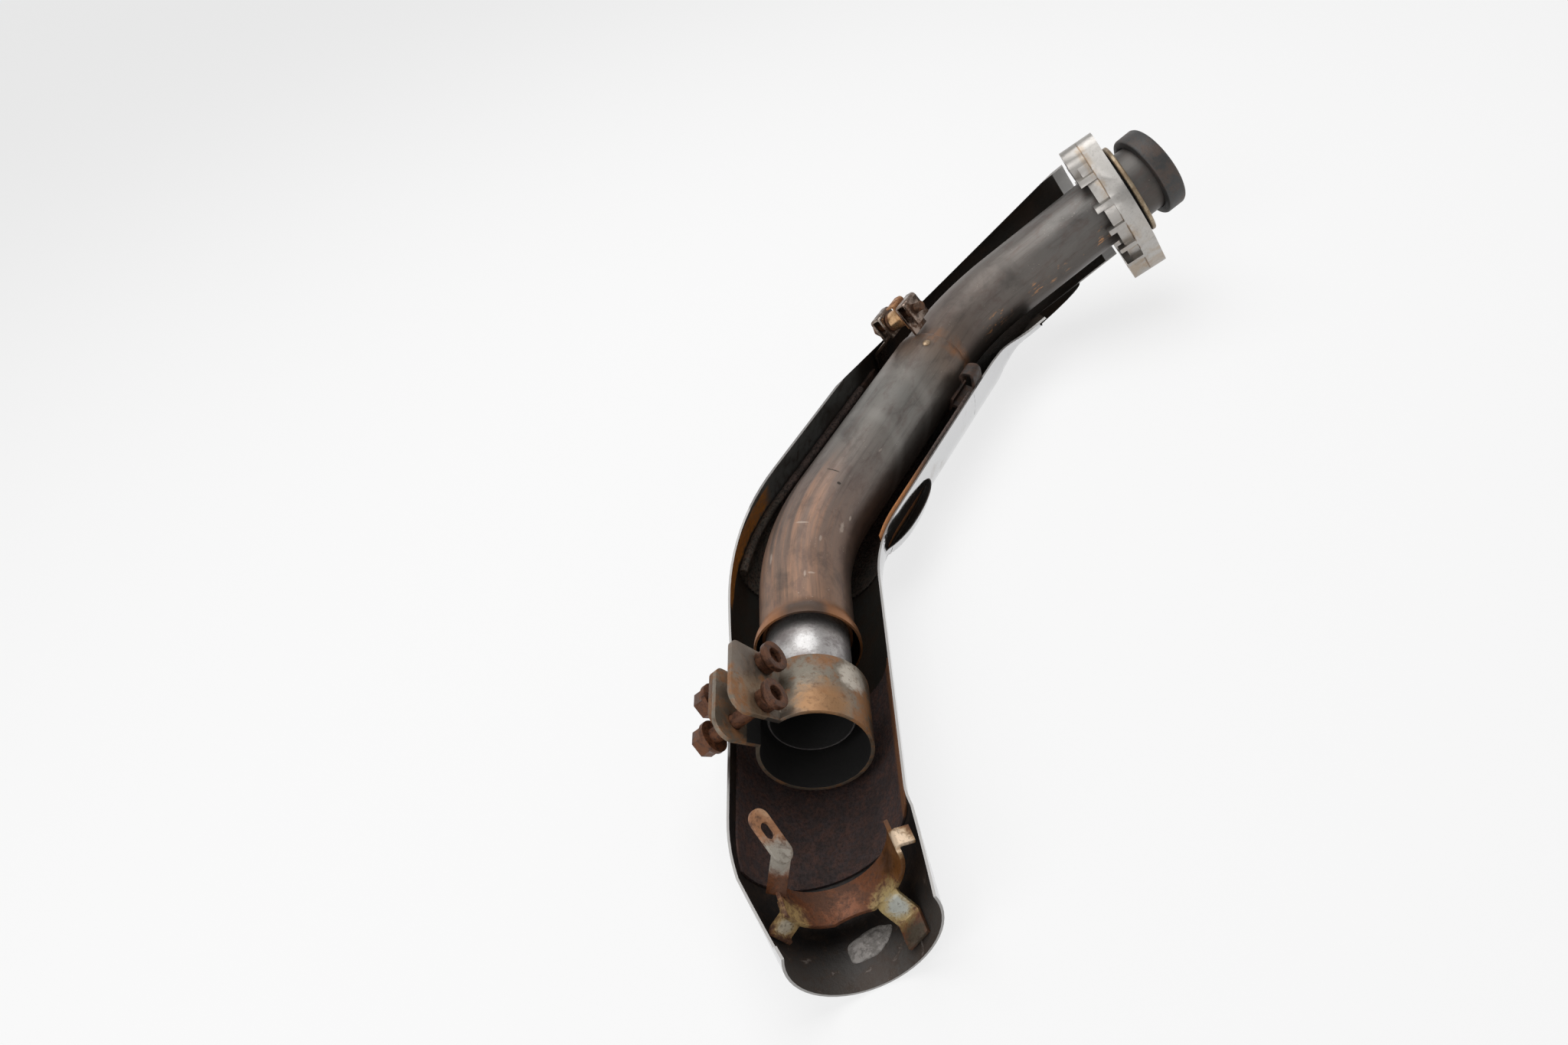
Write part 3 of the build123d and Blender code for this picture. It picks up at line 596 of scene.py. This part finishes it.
# low oval dome on a spot, longer along the run
def domeMesh(d, spot, out, forward):
    side = forward.cross(out).normalized()
    forward = out.cross(side)
    points = [spot + out * d["height"]]
    for i in range(1, d["rings"] + 1):
        a = math.pi / 2 * i / d["rings"]
        lift = d["height"] * math.cos(a) if i < d["rings"] else -d["height"] / 2
        for k in range(d["around"]):
            turn = 2 * math.pi * k / d["around"]
            flat = (forward * math.cos(turn) * d["long"] + side * math.sin(turn)) * d["radius"] * math.sin(a)
            points.append(spot + flat + out * lift)
    faces = [(0, 1 + k, 1 + (k + 1) % d["around"]) for k in range(d["around"])]
    for i in range(d["rings"] - 1):
        for k in range(d["around"]):
            a = 1 + i * d["around"]
            m = (k + 1) % d["around"]
            faces.append((a + k, a + d["around"] + k, a + d["around"] + m, a + m))
    last = 1 + (d["rings"] - 1) * d["around"]
    faces.append(tuple(last + k for k in range(d["around"])))
    return meshOf("dome", [tuple(p) for p in points], faces)


weldRun, weldTurn = pipeLook["weldAt"]
weldSpot = Vector(onRun(weldRun, weldTurn, sleeve["radius"]))
weldOut = (weldSpot - Vector(onRun(weldRun, weldTurn, 0))).normalized()
weldAlong = Vector(onRun(weldRun + .01, weldTurn, sleeve["radius"])) - weldSpot
weldMesh = domeMesh(plugWeld, weldSpot, weldOut, weldAlong)
addOn("plugWeld", weldMesh, metalFinish("tanWeld", plugWeld))
print("tubes swept, sleeve from", round(sleeveStart, 4), "to", round(flareEnd, 4))

# slip end, collar and ring
spigot = {
    "base": (.3, .275, .27), "second": (.46, .44, .43), "dark": (.2, .175, .165), "share": .5,
    "cloud": 110, "speck": 700, "specks": .5, "metal": (.85, .85), "rough": (.5, .38), "depth": .0002,
    "sootAndShade": (.008, .0075, .007), "sootAndShadeBelow": -.35,
    "stains": (
        ((.004, .034, .0222), .009, (.78, .77, .76), .75),
        ((-.008, .03, .0205), .006, (.7, .69, .68), .6),
    ),
}
dress("slipEnd", "outlet_spigot", .0003, "scuffedSpigot", spigot)
collar = {
    "base": (.062, .061, .06), "second": (.1, .077, .066), "dark": (.035, .032, .03), "share": .55,
    "cloud": 60, "speck": 800, "specks": .4, "metal": (.55, .55), "rough": (.5, .6), "depth": .0002,
    "sootAndShade": (.008, .0075, .007), "sootAndShadeBelow": -.35,
}
dress("headCollar", "port_collar", .0006, "darkCollar", collar)
# painted shade in near black on the ring's faces that do not look outwards
ring = {
    "base": (.4, .32, .22), "second": (.26, .19, .12), "dark": (.14, .1, .07), "share": .5,
    "cloud": 110, "speck": 900, "specks": .5, "metal": (.8, .8), "rough": (.34, .45), "depth": .0002,
    "sootAndShade": (.014, .013, .012), "sootAndShadeBelow": .35,
}
dress("looseRing", "retaining_ring", .0003, "tarnishedRing", ring)
print("slip end, collar and ring dressed")

# cast flange: satin plate in front, stained along the parting line and at the lower ear
flange = {
    "front": (.248025, .384419, .039918), "inward": (-.92889, -.07158, -.36338),
    "long": (.36987, -.12851, -.92015), "base": (.47, .45, .425), "pit": (.29, .27, .25),
    "stain": (.35, .255, .165), "line": (.17, .11, .065),
    "parting": .012, "tanFrom": (.02, .07), "seam": (.0124, .0128), "halo": (.0105, .0135),
}


def flangeFinish(name, d):
    material, t, shader = newFinish(name)
    place = objectPlace(t)
    depth = along(t, place, d["front"], d["inward"])
    low = along(t, place, d["front"], d["long"])
    cloud = grain(t, place, 70, 5, .62, .3)
    speck = grain(t, place, 1000, 4, .65)
    colour = paint(t, d["base"], d["pit"], edge(t, speck, .55, .7), .5)
    # painted shade darkens the recessed back of the flange behind the parting line
    recessShade = edge(t, depth, d["parting"] - .0005, d["parting"] + .001)
    colour = paint(t, colour, d["pit"], recessShade, .35)
    tan = both(t, edge(t, calc(t, "ADD", low, calc(t, "MULTIPLY", cloud, .05)), *d["tanFrom"]), .5)
    colour = paint(t, colour, d["stain"], tan, edge(t, cloud, .4, .6))
    seam = stripe(t, calc(t, "ADD", depth, calc(t, "MULTIPLY", cloud, .0012)), *d["seam"], .0005)
    colour = paint(t, colour, d["line"], seam, edge(t, cloud, .42, .52), .8)
    halo = stripe(t, depth, *d["halo"], .003)
    colour = paint(t, colour, d["stain"], halo, edge(t, cloud, .48, .62), .5)
    mottle = grain(t, place, 240, 5, .68, .4)
    colour = paint(t, colour, d["pit"], edge(t, mottle, .5, .72), .45)
    rough = span(t, mottle, .3, .7, .34, .42)
    dressShader(t, shader, colour, 1, rough, bump(t, speck, .0002, .25))
    return material


seat("castFlange", softened("head_flange", .0007), "head_flange", flangeFinish("castFlange", flange))
print("flange dressed")

# shield: chrome outside, soot and rust inside, a painted reflection in slate grey on the left wall, a clean
# strip at the head painted near white as a reflection
shield = {
    "chrome": (.64, .64, .645), "stain": (.3, .25, .2), "length": .7, "brown": (.05, .03, .019),
    "zones": (
        (0, (.026, .021, .016)), (.33, (.026, .022, .018)), (.40, (.042, .042, .04)),
        (.57, (.045, .043, .038)), (.66, (.034, .031, .025)), (.80, (.014, .012, .011)),
        (.9, (.013, .011, .01)), (.935, (.06, .053, .048)), (1, (.14, .123, .11)),
    ),
    "wallReflection": (.2, .205, .2), "orange": (.62, .24, .035), "cleanAndReflection": (.95, .94, .92), "ash": (.3, .27, .25),
    "rim": (.34, .33, .32), "headEnd": (.224338, .382594, .030652), "inward": (-.92889, -.07158, -.36338),
    "reflectionRun": (.26, .395), "reflectionAngle": (-1.5, -.9), "ashFrom": (.625, .65), "pocketAngle": (1.7, 2.5),
    "rustRun": (.375, .44), "rustAngle": (-1.53, -1.24), "sharp": 18,
    "cleanUntil": (.0085, .0092), "cleanAngle": (-.4, -.2),
    "wall": .0427, "scoopBack": .048, "scoopHalf": .042, "scoopShort": .22, "scoopFlat": .55,
    "scoopReach": (.05, .075), "scoopAngles": (86, 97, 130, 160), "leanAngles": (98, 120, 140, 166),
    "lean": ((.119, 0), (.126, .0105), (.132, .0105), (.145, .008), (.16, .005), (.18, .002), (.2, 0)),
}
scoopRun = runOf(aim(0) * pipeRun["outletLeg"] + aim(pipeRun["middleHeading"]) * shield["scoopBack"])


# the scoop's small mouth and the wall that leans in at the upper bend, as the photo shows them
def shieldRule(run, angle, radius):
    d = shield
    away = run - scoopRun
    share = 1 - smoothStep(abs(away), *d["scoopReach"])
    share *= smoothStep(angle, *d["scoopAngles"][:2]) * (1 - smoothStep(angle, *d["scoopAngles"][2:]))
    newRun = scoopRun + away * (1 - d["scoopShort"] * share)
    proud = np.where(share > 0, np.maximum(radius - d["wall"], 0), 0)
    lean = np.interp(run, *zip(*d["lean"]))
    lean *= smoothStep(angle, *d["leanAngles"][:2]) * (1 - smoothStep(angle, *d["leanAngles"][2:]))
    return newRun, angle, radius - proud * (1 - d["scoopFlat"]) - lean


# right wall's upper part, whose rim runs in one long curve
rimWall = {
    "start": .1265, "end": .25, "step": .002, "across": 24, "outer": .0427, "inner": .0415,
    "cover": (.0003, .000004),
    "rim": (
        (.1265, 103.4), (.13, 102.8), (.145, 100.2), (.16, 96.9), (.18, 91.8), (.2, 88), (.215, 86.2),
        (.23, 85.9), (.25, 85.9),
    ),
    "foot": ((.1265, 177), (.135, 162), (.16, 148), (.215, 120), (.25, 110)),
}


# smooth value between listed knots
def easeBetween(run, knots):
    x, y = np.array(knots).T
    slope = np.gradient(y, x)
    i = int(np.clip(np.searchsorted(x, run) - 1, 0, len(x) - 2))
    gap = x[i + 1] - x[i]
    u = (run - x[i]) / gap
    start = y[i] * (1 - u) ** 2 * (1 + 2 * u) + slope[i] * gap * u * (1 - u) ** 2
    return start + y[i + 1] * u * u * (3 - 2 * u) - slope[i + 1] * gap * u * u * (1 - u)


# swept strip of sheet that lies over the solid's wall and hides its stepped rim
def wallStrip(d):
    count = int((d["end"] - d["start"]) / d["step"])
    points = []
    for i in range(count + 1):
        run = d["start"] + (d["end"] - d["start"]) * i / count
        rim, foot = easeBetween(run, d["rim"]), easeBetween(run, d["foot"])
        cover = d["cover"][0] + (d["cover"][1] - d["cover"][0]) * i / count
        turns = [rim + (foot - rim) * k / d["across"] for k in range(d["across"] + 1)]
        points += [tuple(onRun(run, a, d["outer"] + cover)) for a in turns]
        points += [tuple(onRun(run, a, d["inner"] - cover)) for a in reversed(turns)]
    around = 2 * (d["across"] + 1)
    faces = ringFaces([(i, i + 1) for i in range(count)], around)
    return meshOf("strip", points, [tuple(range(around)), *faces])


# meshes put together into the first
def joined(*meshes):
    bm = bmesh.new()
    for mesh in meshes:
        bm.from_mesh(mesh)
    bm.to_mesh(meshes[0])
    bm.free()
    return meshes[0]


def shieldFinish(name, d):
    material, t, shader = newFinish(name)
    place = straightPlace(t)
    run, right, up = axes(t, place)
    angle = calc(t, "ARCTAN2", right, up)
    facing = facingMark(t)
    outside = edge(t, facing, -.3, -.2)
    pocket = both(t, stripe(t, run, scoopRun - d["scoopHalf"], scoopRun + d["scoopHalf"], .002),
                  stripe(t, angle, *d["pocketAngle"], .02), less(t, edge(t, facing, .3, .45)))
    outside = both(t, outside, less(t, pocket))
    cloud = grain(t, place, 30, 5, .62)
    mottle = grain(t, place, 130, 6, .7, .5)
    speck = grain(t, place, 420, 4, .7)
    # inside: soot along the run, a painted reflection in slate grey on the left wall, brown rust, ash at the
    # tail
    wander = sway(t, run, cloud, .02)
    inner = ramp(t, span(t, wander, 0, d["length"]), *d["zones"])
    leftWallReflection = both(t, stripe(t, run, *d["reflectionRun"], .02), stripe(t, angle, *d["reflectionAngle"], .1))
    inner = paint(t, inner, d["wallReflection"], leftWallReflection, .85)
    inner = paint(t, inner, d["brown"], edge(t, cloud, .45, .65), .6)
    inner = paint(t, inner, d["brown"], edge(t, mottle, .48, .66), .7)
    inner = paint(t, inner, d["brown"], edge(t, speck, .58, .7), edge(t, cloud, .42, .6), .7)
    tailEnd = edge(t, run, *d["ashFrom"])
    inner = paint(t, inner, d["ash"], tailEnd, edge(t, mottle, .6, .7), .6)
    # orange rust under the left rim, a clean strip at the head painted near white as a reflection
    ragged = sway(t, angle, mottle, .2)
    rustRun = both(t, stripe(t, wander, *d["rustRun"], .008), stripe(t, ragged, *d["rustAngle"], .05))
    rustRun = both(t, rustRun, span(t, speck, .35, .6, 1, .55))
    inner = paint(t, inner, d["orange"], rustRun)
    head = along(t, objectPlace(t), d["headEnd"], d["inward"])
    cleanAndReflection = both(t, less(t, edge(t, head, *d["cleanUntil"])), less(t, edge(t, angle, *d["cleanAngle"])))
    inner = paint(t, inner, d["cleanAndReflection"], cleanAndReflection)
    # outside: stained chrome with a dull rim
    stain = both(t, edge(t, grain(t, place, 45, 5, .65), .56, .76), .35)
    outer = paint(t, d["chrome"], d["stain"], stain)
    outer = paint(t, outer, d["stain"], edge(t, speck, .66, .72), .5)
    rim = both(t, outside, less(t, edge(t, facing, .62, .75)))
    outer = paint(t, outer, d["rim"], rim)
    colour = paint(t, inner, outer, outside)
    plain = both(t, less(t, outside), calc(t, "MAXIMUM", rustRun, cleanAndReflection))
    rough = calc(t, "SUBTRACT", span(t, outside, 0, 1, .55, .1), both(t, plain, .1))
    rough = calc(t, "MAXIMUM", rough, both(t, rim, .5))
    metal = calc(t, "SUBTRACT", span(t, outside, 0, 1, .35, 1), both(t, plain, .35))
    height = both(t, speck, less(t, outside))
    dressShader(t, shader, colour, metal, rough, bump(t, height, .0006, .5))
    return material


shieldMesh = reshape(joined(softened("heat_shield"), wallStrip(rimWall)), shieldRule)
seat("chromedShield", shieldMesh, "heat_shield", shieldFinish("chromedShield", shield), shield["sharp"])
print("shield dressed")

# inner sheets: grainy rust, orange at the right edge
liner = {
    "grey": (.1, .088, .07), "brown": (.11, .07, .05), "dark": (.02, .017, .014), "orange": (.5, .2, .065),
    "hem": (.13, .085, .073), "pits": .85, "edgeLift": 5, "edgeFrom": (60, 88), "edgeUntil": 120,
    "hemUntil": (.36, .385), "rimRun": (.31, .36), "rimAngle": (1.36, 1.9),
}
tailSheet = dict(
    liner, grey=(.06, .041, .04), brown=(.105, .05, .037), dark=(.025, .018, .017), orange=(.2, .08, .03),
    hem=(.075, .049, .044), pits=.6,
)


# the elbow's sheet stands a little above the shield's right rim
def linerRule(run, angle, radius):
    lift = liner["edgeLift"] * smoothStep(angle, *liner["edgeFrom"])
    return run, np.where(angle < liner["edgeUntil"], angle - lift, angle), radius


def linerFinish(name, d):
    material, t, shader = newFinish(name)
    place = straightPlace(t)
    run, right, up = axes(t, place)
    angle = calc(t, "ARCTAN2", right, up)
    cloud = grain(t, place, 70, 5, .62, .3)
    mottle = grain(t, place, 230, 5, .7, .4)
    pit = grain(t, place, 620, 4, .72)
    colour = paint(t, d["grey"], d["brown"], edge(t, mottle, .4, .62))
    upper = less(t, edge(t, calc(t, "ADD", run, calc(t, "MULTIPLY", cloud, .02)), *d["hemUntil"]))
    colour = paint(t, colour, d["hem"], upper, .8)
    colour = paint(t, colour, d["dark"], edge(t, cloud, .45, .65), .5)
    colour = paint(t, colour, d["dark"], edge(t, pit, .47, .6), d["pits"])
    rim = both(t, stripe(t, angle, *d["rimAngle"], .1), edge(t, run, *d["rimRun"]))
    colour = paint(t, colour, d["orange"], rim, span(t, pit, .3, .55, .5, 1))
    dressShader(t, shader, colour, .1, span(t, pit, .3, .7, .6, .9), bump(t, pit, .0012, .8))
    return material


linerMesh = reshape(softened("elbow_liner"), linerRule)
seat("elbowSheet", linerMesh, "elbow_liner", linerFinish("grainyLiner", liner))
seat("tailSheet", softened("tail_liner"), "tail_liner", linerFinish("grainyTailLiner", tailSheet))
print("inner sheets dressed")

# bracket and clips at the sleeve's start
cradle = {
    "base": (.04, .03, .026), "second": (.08, .041, .026), "dark": (.015, .013, .011), "share": .52,
    "cloud": 120, "speck": 700, "specks": .7, "metal": (.5, .1), "rough": (.4, .8), "depth": .0004,
}
clip = {
    "base": (.3, .25, .21), "second": (.11, .068, .045), "dark": (.035, .023, .017), "share": .52,
    "cloud": 90, "speck": 600, "specks": .6, "metal": (1, .8), "rough": (.14, .4), "depth": .0002,
}
clipEnd = dict(clip, base=(.26, .2, .165), second=(.12, .062, .036), cloud=120)
leaf = {
    "base": (.4, .2, .085), "second": (.22, .085, .03), "dark": (.07, .03, .015), "share": .48,
    "cloud": 160, "speck": 700, "specks": .6, "metal": (.5, .2), "rough": (.4, .7), "depth": .0003,
}
barrel = {
    "base": (.62, .39, .21), "second": (.46, .25, .11), "dark": (.22, .11, .05), "share": .5,
    "cloud": 130, "speck": 800, "specks": .4, "metal": (.85, .8), "rough": (.22, .36), "depth": .0001,
}
darkSteel = {
    "base": (.085, .05, .032), "second": (.15, .062, .024), "dark": (.03, .018, .013), "share": .5,
    "cloud": 200, "speck": 800, "specks": .6, "metal": (.7, .2), "rough": (.35, .7), "depth": .0003,
}
dress("pipeCradle", "shield_cradle", .0004, "sootyCradle", cradle)
dress("leftClip", "strap_lug", .0005, "polishedClip", clip)
dress("rightClip", "strap_end", .0005, "polishedEnd", clipEnd)
dress("rustyLeaf", "strap_leaf", .0003, "rustyLeaf", leaf)
dress("tanBarrel", "strap_barrel", .0006, "tanBarrel", barrel)
dress("darkWasher", "strap_washer", .0003, "darkWasher", darkSteel)
dress("strapScrew", "strap_bolt", .0004, "rustyStrapBolt", darkSteel)
print("bracket and clips dressed")

# saddle: red rust, with heat tints, zinc and gold on its lug, tab and legs
saddle = {
    "base": (.19, .066, .026), "second": (.11, .045, .022), "dark": (.04, .018, .011), "share": .5,
    "cloud": 90, "speck": 500, "specks": .55, "metal": (.4, .2), "rough": (.42, .65), "depth": .0004,
    "stains": (
        ((.033, -.083, -.006), .022, (.16, .062, .012), .9),
        ((.03, -.078, -.016), .008, (.06, .025, .01), .8),
        ((.036, -.0848, .0065), .009, (.42, .27, .13), .9),
        ((.0365, -.0848, .008), .0075, (.75, .58, .42), .9),
        ((-.0175, -.0705, .017), .016, (.36, .17, .08), .95),
        ((-.019, -.0645, .02), .007, (.5, .3, .17), .8),
        ((-.0165, -.0835, .0085), .0105, (.36, .33, .28), .95),
        ((.0275, -.095, -.0235), .0125, (.45, .34, .15), .95),
        ((.029, -.0965, -.0235), .0065, (.42, .45, .43), .85),
        ((.034, -.109, -.027), .0095, (.07, .058, .04), .95),
        ((-.0185, -.1005, -.0145), .0105, (.5, .34, .14), .95),
        ((-.0195, -.103, -.0145), .0055, (.55, .5, .4), .8),
    ),
}
dress("tailSaddle", "tail_saddle", .0004, "tintedSaddle", saddle)
print("saddle dressed")

# grey smear on the shield's belly, under the saddle
smear = {
    "middle": (.0125, -.1015), "long": .0125, "wide": .0062, "turn": 32, "high": .0028,
    "sunk": .0003, "across": 30,
    "base": (.34, .315, .295), "second": (.2, .185, .17), "dark": (.09, .08, .072), "share": .5,
    "cloud": 170, "speck": 700, "specks": .5, "metal": (0, 0), "rough": (.7, .85), "depth": .0006,
}


# lumpy patch that lies on the solid's belly
def smearMesh(d):
    solid = nodes["heat_shield"].data
    belly = BVHTree.FromPolygons([v.co for v in solid.vertices], [p.vertices for p in solid.polygons])
    turn = math.radians(d["turn"])
    count = d["across"]
    top, bottom = [], []
    for i in range(count + 1):
        for k in range(count + 1):
            a, b = 2 * i / count - 1, 2 * k / count - 1
            a, b = a * math.sqrt(1 - b * b / 2), b * math.sqrt(1 - a * a / 2)
            ragged = 1 + .3 * noise.noise((a * 1.4, b * 1.4, 5))
            x = (a * d["long"] * math.cos(turn) - b * d["wide"] * math.sin(turn)) * ragged + d["middle"][0]
            y = (a * d["long"] * math.sin(turn) + b * d["wide"] * math.cos(turn)) * ragged + d["middle"][1]
            ground = belly.ray_cast(Vector((x, y, 0)), Vector((0, 0, -1)))[0]
            hill = max(0, 1 - a * a - b * b) ** .6
            lumps = .65 + .55 * noise.noise((x * 330, y * 330, 2)) + .3 * noise.noise((x * 900, y * 900, 7))
            top.append((x, y, ground.z + d["high"] * hill * max(lumps, .12)))
            bottom.append((x, y, ground.z - d["sunk"]))
    row = count + 1
    faces = []
    for i in range(count):
        for k in range(count):
            a = i * row + k
            faces.append((a, a + 1, a + row + 1, a + row))
            faces.append(tuple(v + row * row for v in (a, a + row, a + row + 1, a + 1)))
    border = list(range(row)) + [i * row + count for i in range(1, row)]
    border += [count * row + k for k in range(count - 1, -1, -1)] + [i * row for i in range(count - 1, 0, -1)]
    for a, b in zip(border, border[1:] + border[:1]):
        faces.append((a, b, b + row * row, a + row * row))
    return meshOf("smear", top + bottom, faces)


addOn("greySmear", smearMesh(smear), metalFinish("greySmear", smear), 60)
print("smear laid on the belly")

# clamp: dull zinc under orange rust, painted shade in black inside
clamp = {
    "base": (.2, .165, .125), "second": (.27, .125, .05), "dark": (.13, .068, .032), "share": .54,
    "cloud": 60, "speck": 380, "specks": .5, "metal": (.6, .15), "rough": (.42, .7), "depth": .0003,
    "sootAndShade": (.008, .0075, .007), "sootAndShadeBelow": -.4, "shadeWithin": (.0325, .0335),
    "stains": (
        ((.006, .0085, .0237), .015, (.25, .225, .18), .7),
        ((.0108, -.0095, .0222), .016, (.36, .18, .07), .75),
        ((.0249, .0118, .0102), .0105, (.6, .54, .46), .85),
        ((-.0246, .009, .046), .02, (.2, .165, .135), .8),
        ((-.017, -.012, .036), .016, (.3, .2, .12), .7),
        ((-.012, -.014, .026), .008, (.2, .17, .14), .8),
    ),
}
plate = {
    "base": (.2, .1, .045), "second": (.13, .08, .052), "dark": (.055, .03, .018), "share": .5,
    "cloud": 90, "speck": 500, "specks": .6, "metal": (.2, .4), "rough": (.7, .5), "depth": .0003,
}
nut = {
    "base": (.13, .052, .024), "second": (.075, .033, .019), "dark": (.028, .015, .01), "share": .5,
    "cloud": 170, "speck": 600, "specks": .6, "metal": (.3, .6), "rough": (.65, .4), "depth": .0004,
}
bolt = dict(nut, base=(.15, .054, .02), second=(.09, .036, .018))
dress("clampBand", "clamp_band", .0005, "rustyBand", clamp)
dress("clampPlate", "clamp_plate", .0005, "rustyPlate", plate)
dress("tubeNuts", "clamp_nuts", .0004, "rustyNuts", nut)
dress("flangedBolts", "clamp_bolts", .0005, "rustyBolts", bolt)
print("clamp dressed")


# floor and sky, brighter for the camera and in mirrors than as light
def seenMark(t):
    path = put(t, "LightPath")
    seen = calc(t, "MAXIMUM", path.outputs["Is Camera Ray"], path.outputs["Is Glossy Ray"])
    return calc(t, "MAXIMUM", seen, path.outputs["Is Transmission Ray"])


floorLook = {"size": 30, "colour": (.9, .9, .9), "glow": .7}


def floorFinish(name, d):
    material = bpy.data.materials.new(name)
    material.use_nodes = True
    t = material.node_tree
    t.nodes.clear()
    matte = put(t, "BsdfDiffuse")
    feed(t, matte.inputs[0], d["colour"])
    mixed = put(t, "MixShader")
    feed(t, mixed.inputs[0], calc(t, "MULTIPLY", seenMark(t), d["glow"]))
    feed(t, mixed.inputs[1], matte.outputs[0])
    feed(t, mixed.inputs[2], put(t, "Emission").outputs[0])
    feed(t, put(t, "OutputMaterial").inputs[0], mixed.outputs[0])
    return material


bpy.ops.mesh.primitive_plane_add(size=floorLook["size"], location=(0, 0, cadBox[0][2]))
floor = bpy.context.object
floor.name = "paleFloor"
floor.data.materials.append(floorFinish("paleFloor", floorLook))

sky = {
    "shades": ((0, (1, 1, 1)), (.12, (.96, .96, .96)), (.5, (.5, .5, .5)), (1, (.3, .3, .3))),
    "power": (.8, 1),
}


def skyWorld(name, d):
    world = bpy.data.worlds.new(name)
    world.use_nodes = True
    t = world.node_tree
    t.nodes.clear()
    height = axes(t, put(t, "TexCoord").outputs["Generated"])[2]
    background = put(t, "Background")
    feed(t, background.inputs[0], ramp(t, height, *d["shades"]))
    feed(t, background.inputs[1], span(t, seenMark(t), 0, 1, *d["power"]))
    feed(t, put(t, "OutputWorld").inputs[0], background.outputs[0])
    return world


bpy.context.scene.world = skyWorld("studio", sky)

lamps = {
    "overhead": {"place": (0, .5, 1.2), "aim": (.08, .15, 0), "size": 1.2, "power": 10},
    "front": {"place": (-.7, -.9, .8), "aim": (.05, .1, 0), "size": .8, "power": 5},
}
for name, d in lamps.items():
    light = bpy.data.lights.new(name, "AREA")
    light.size = d["size"]
    light.energy = d["power"]
    lamp = bpy.data.objects.new(name, light)
    lamp.location = d["place"]
    lamp.rotation_euler = (Vector(d["aim"]) - Vector(d["place"])).to_track_quat("-Z", "Y").to_euler()
    bpy.context.scene.collection.objects.link(lamp)

# camera, as the photograph was taken
view = {
    "place": (.093, -.4262, .4551), "right": (.968, -.021, -.2477), "forward": (-.1383, .7824, -.6069),
    "lens": 29.0, "sensor": 36,
}
forward = Vector(view["forward"]).normalized()
right = Vector(view["right"])
right = (right - forward * right.dot(forward)).normalized()
upward = right.cross(forward)
camera = bpy.data.objects.new("camera", bpy.data.cameras.new("camera"))
camera.data.lens = view["lens"]
camera.data.sensor_width = view["sensor"]
camera.matrix_world = Matrix((
    (right.x, upward.x, -forward.x, view["place"][0]),
    (right.y, upward.y, -forward.y, view["place"][1]),
    (right.z, upward.z, -forward.z, view["place"][2]),
    (0, 0, 0, 1),
))
bpy.context.scene.collection.objects.link(camera)
bpy.context.scene.camera = camera
bpy.context.scene.view_settings.view_transform = "Standard"
print("floor, lamps and camera set")
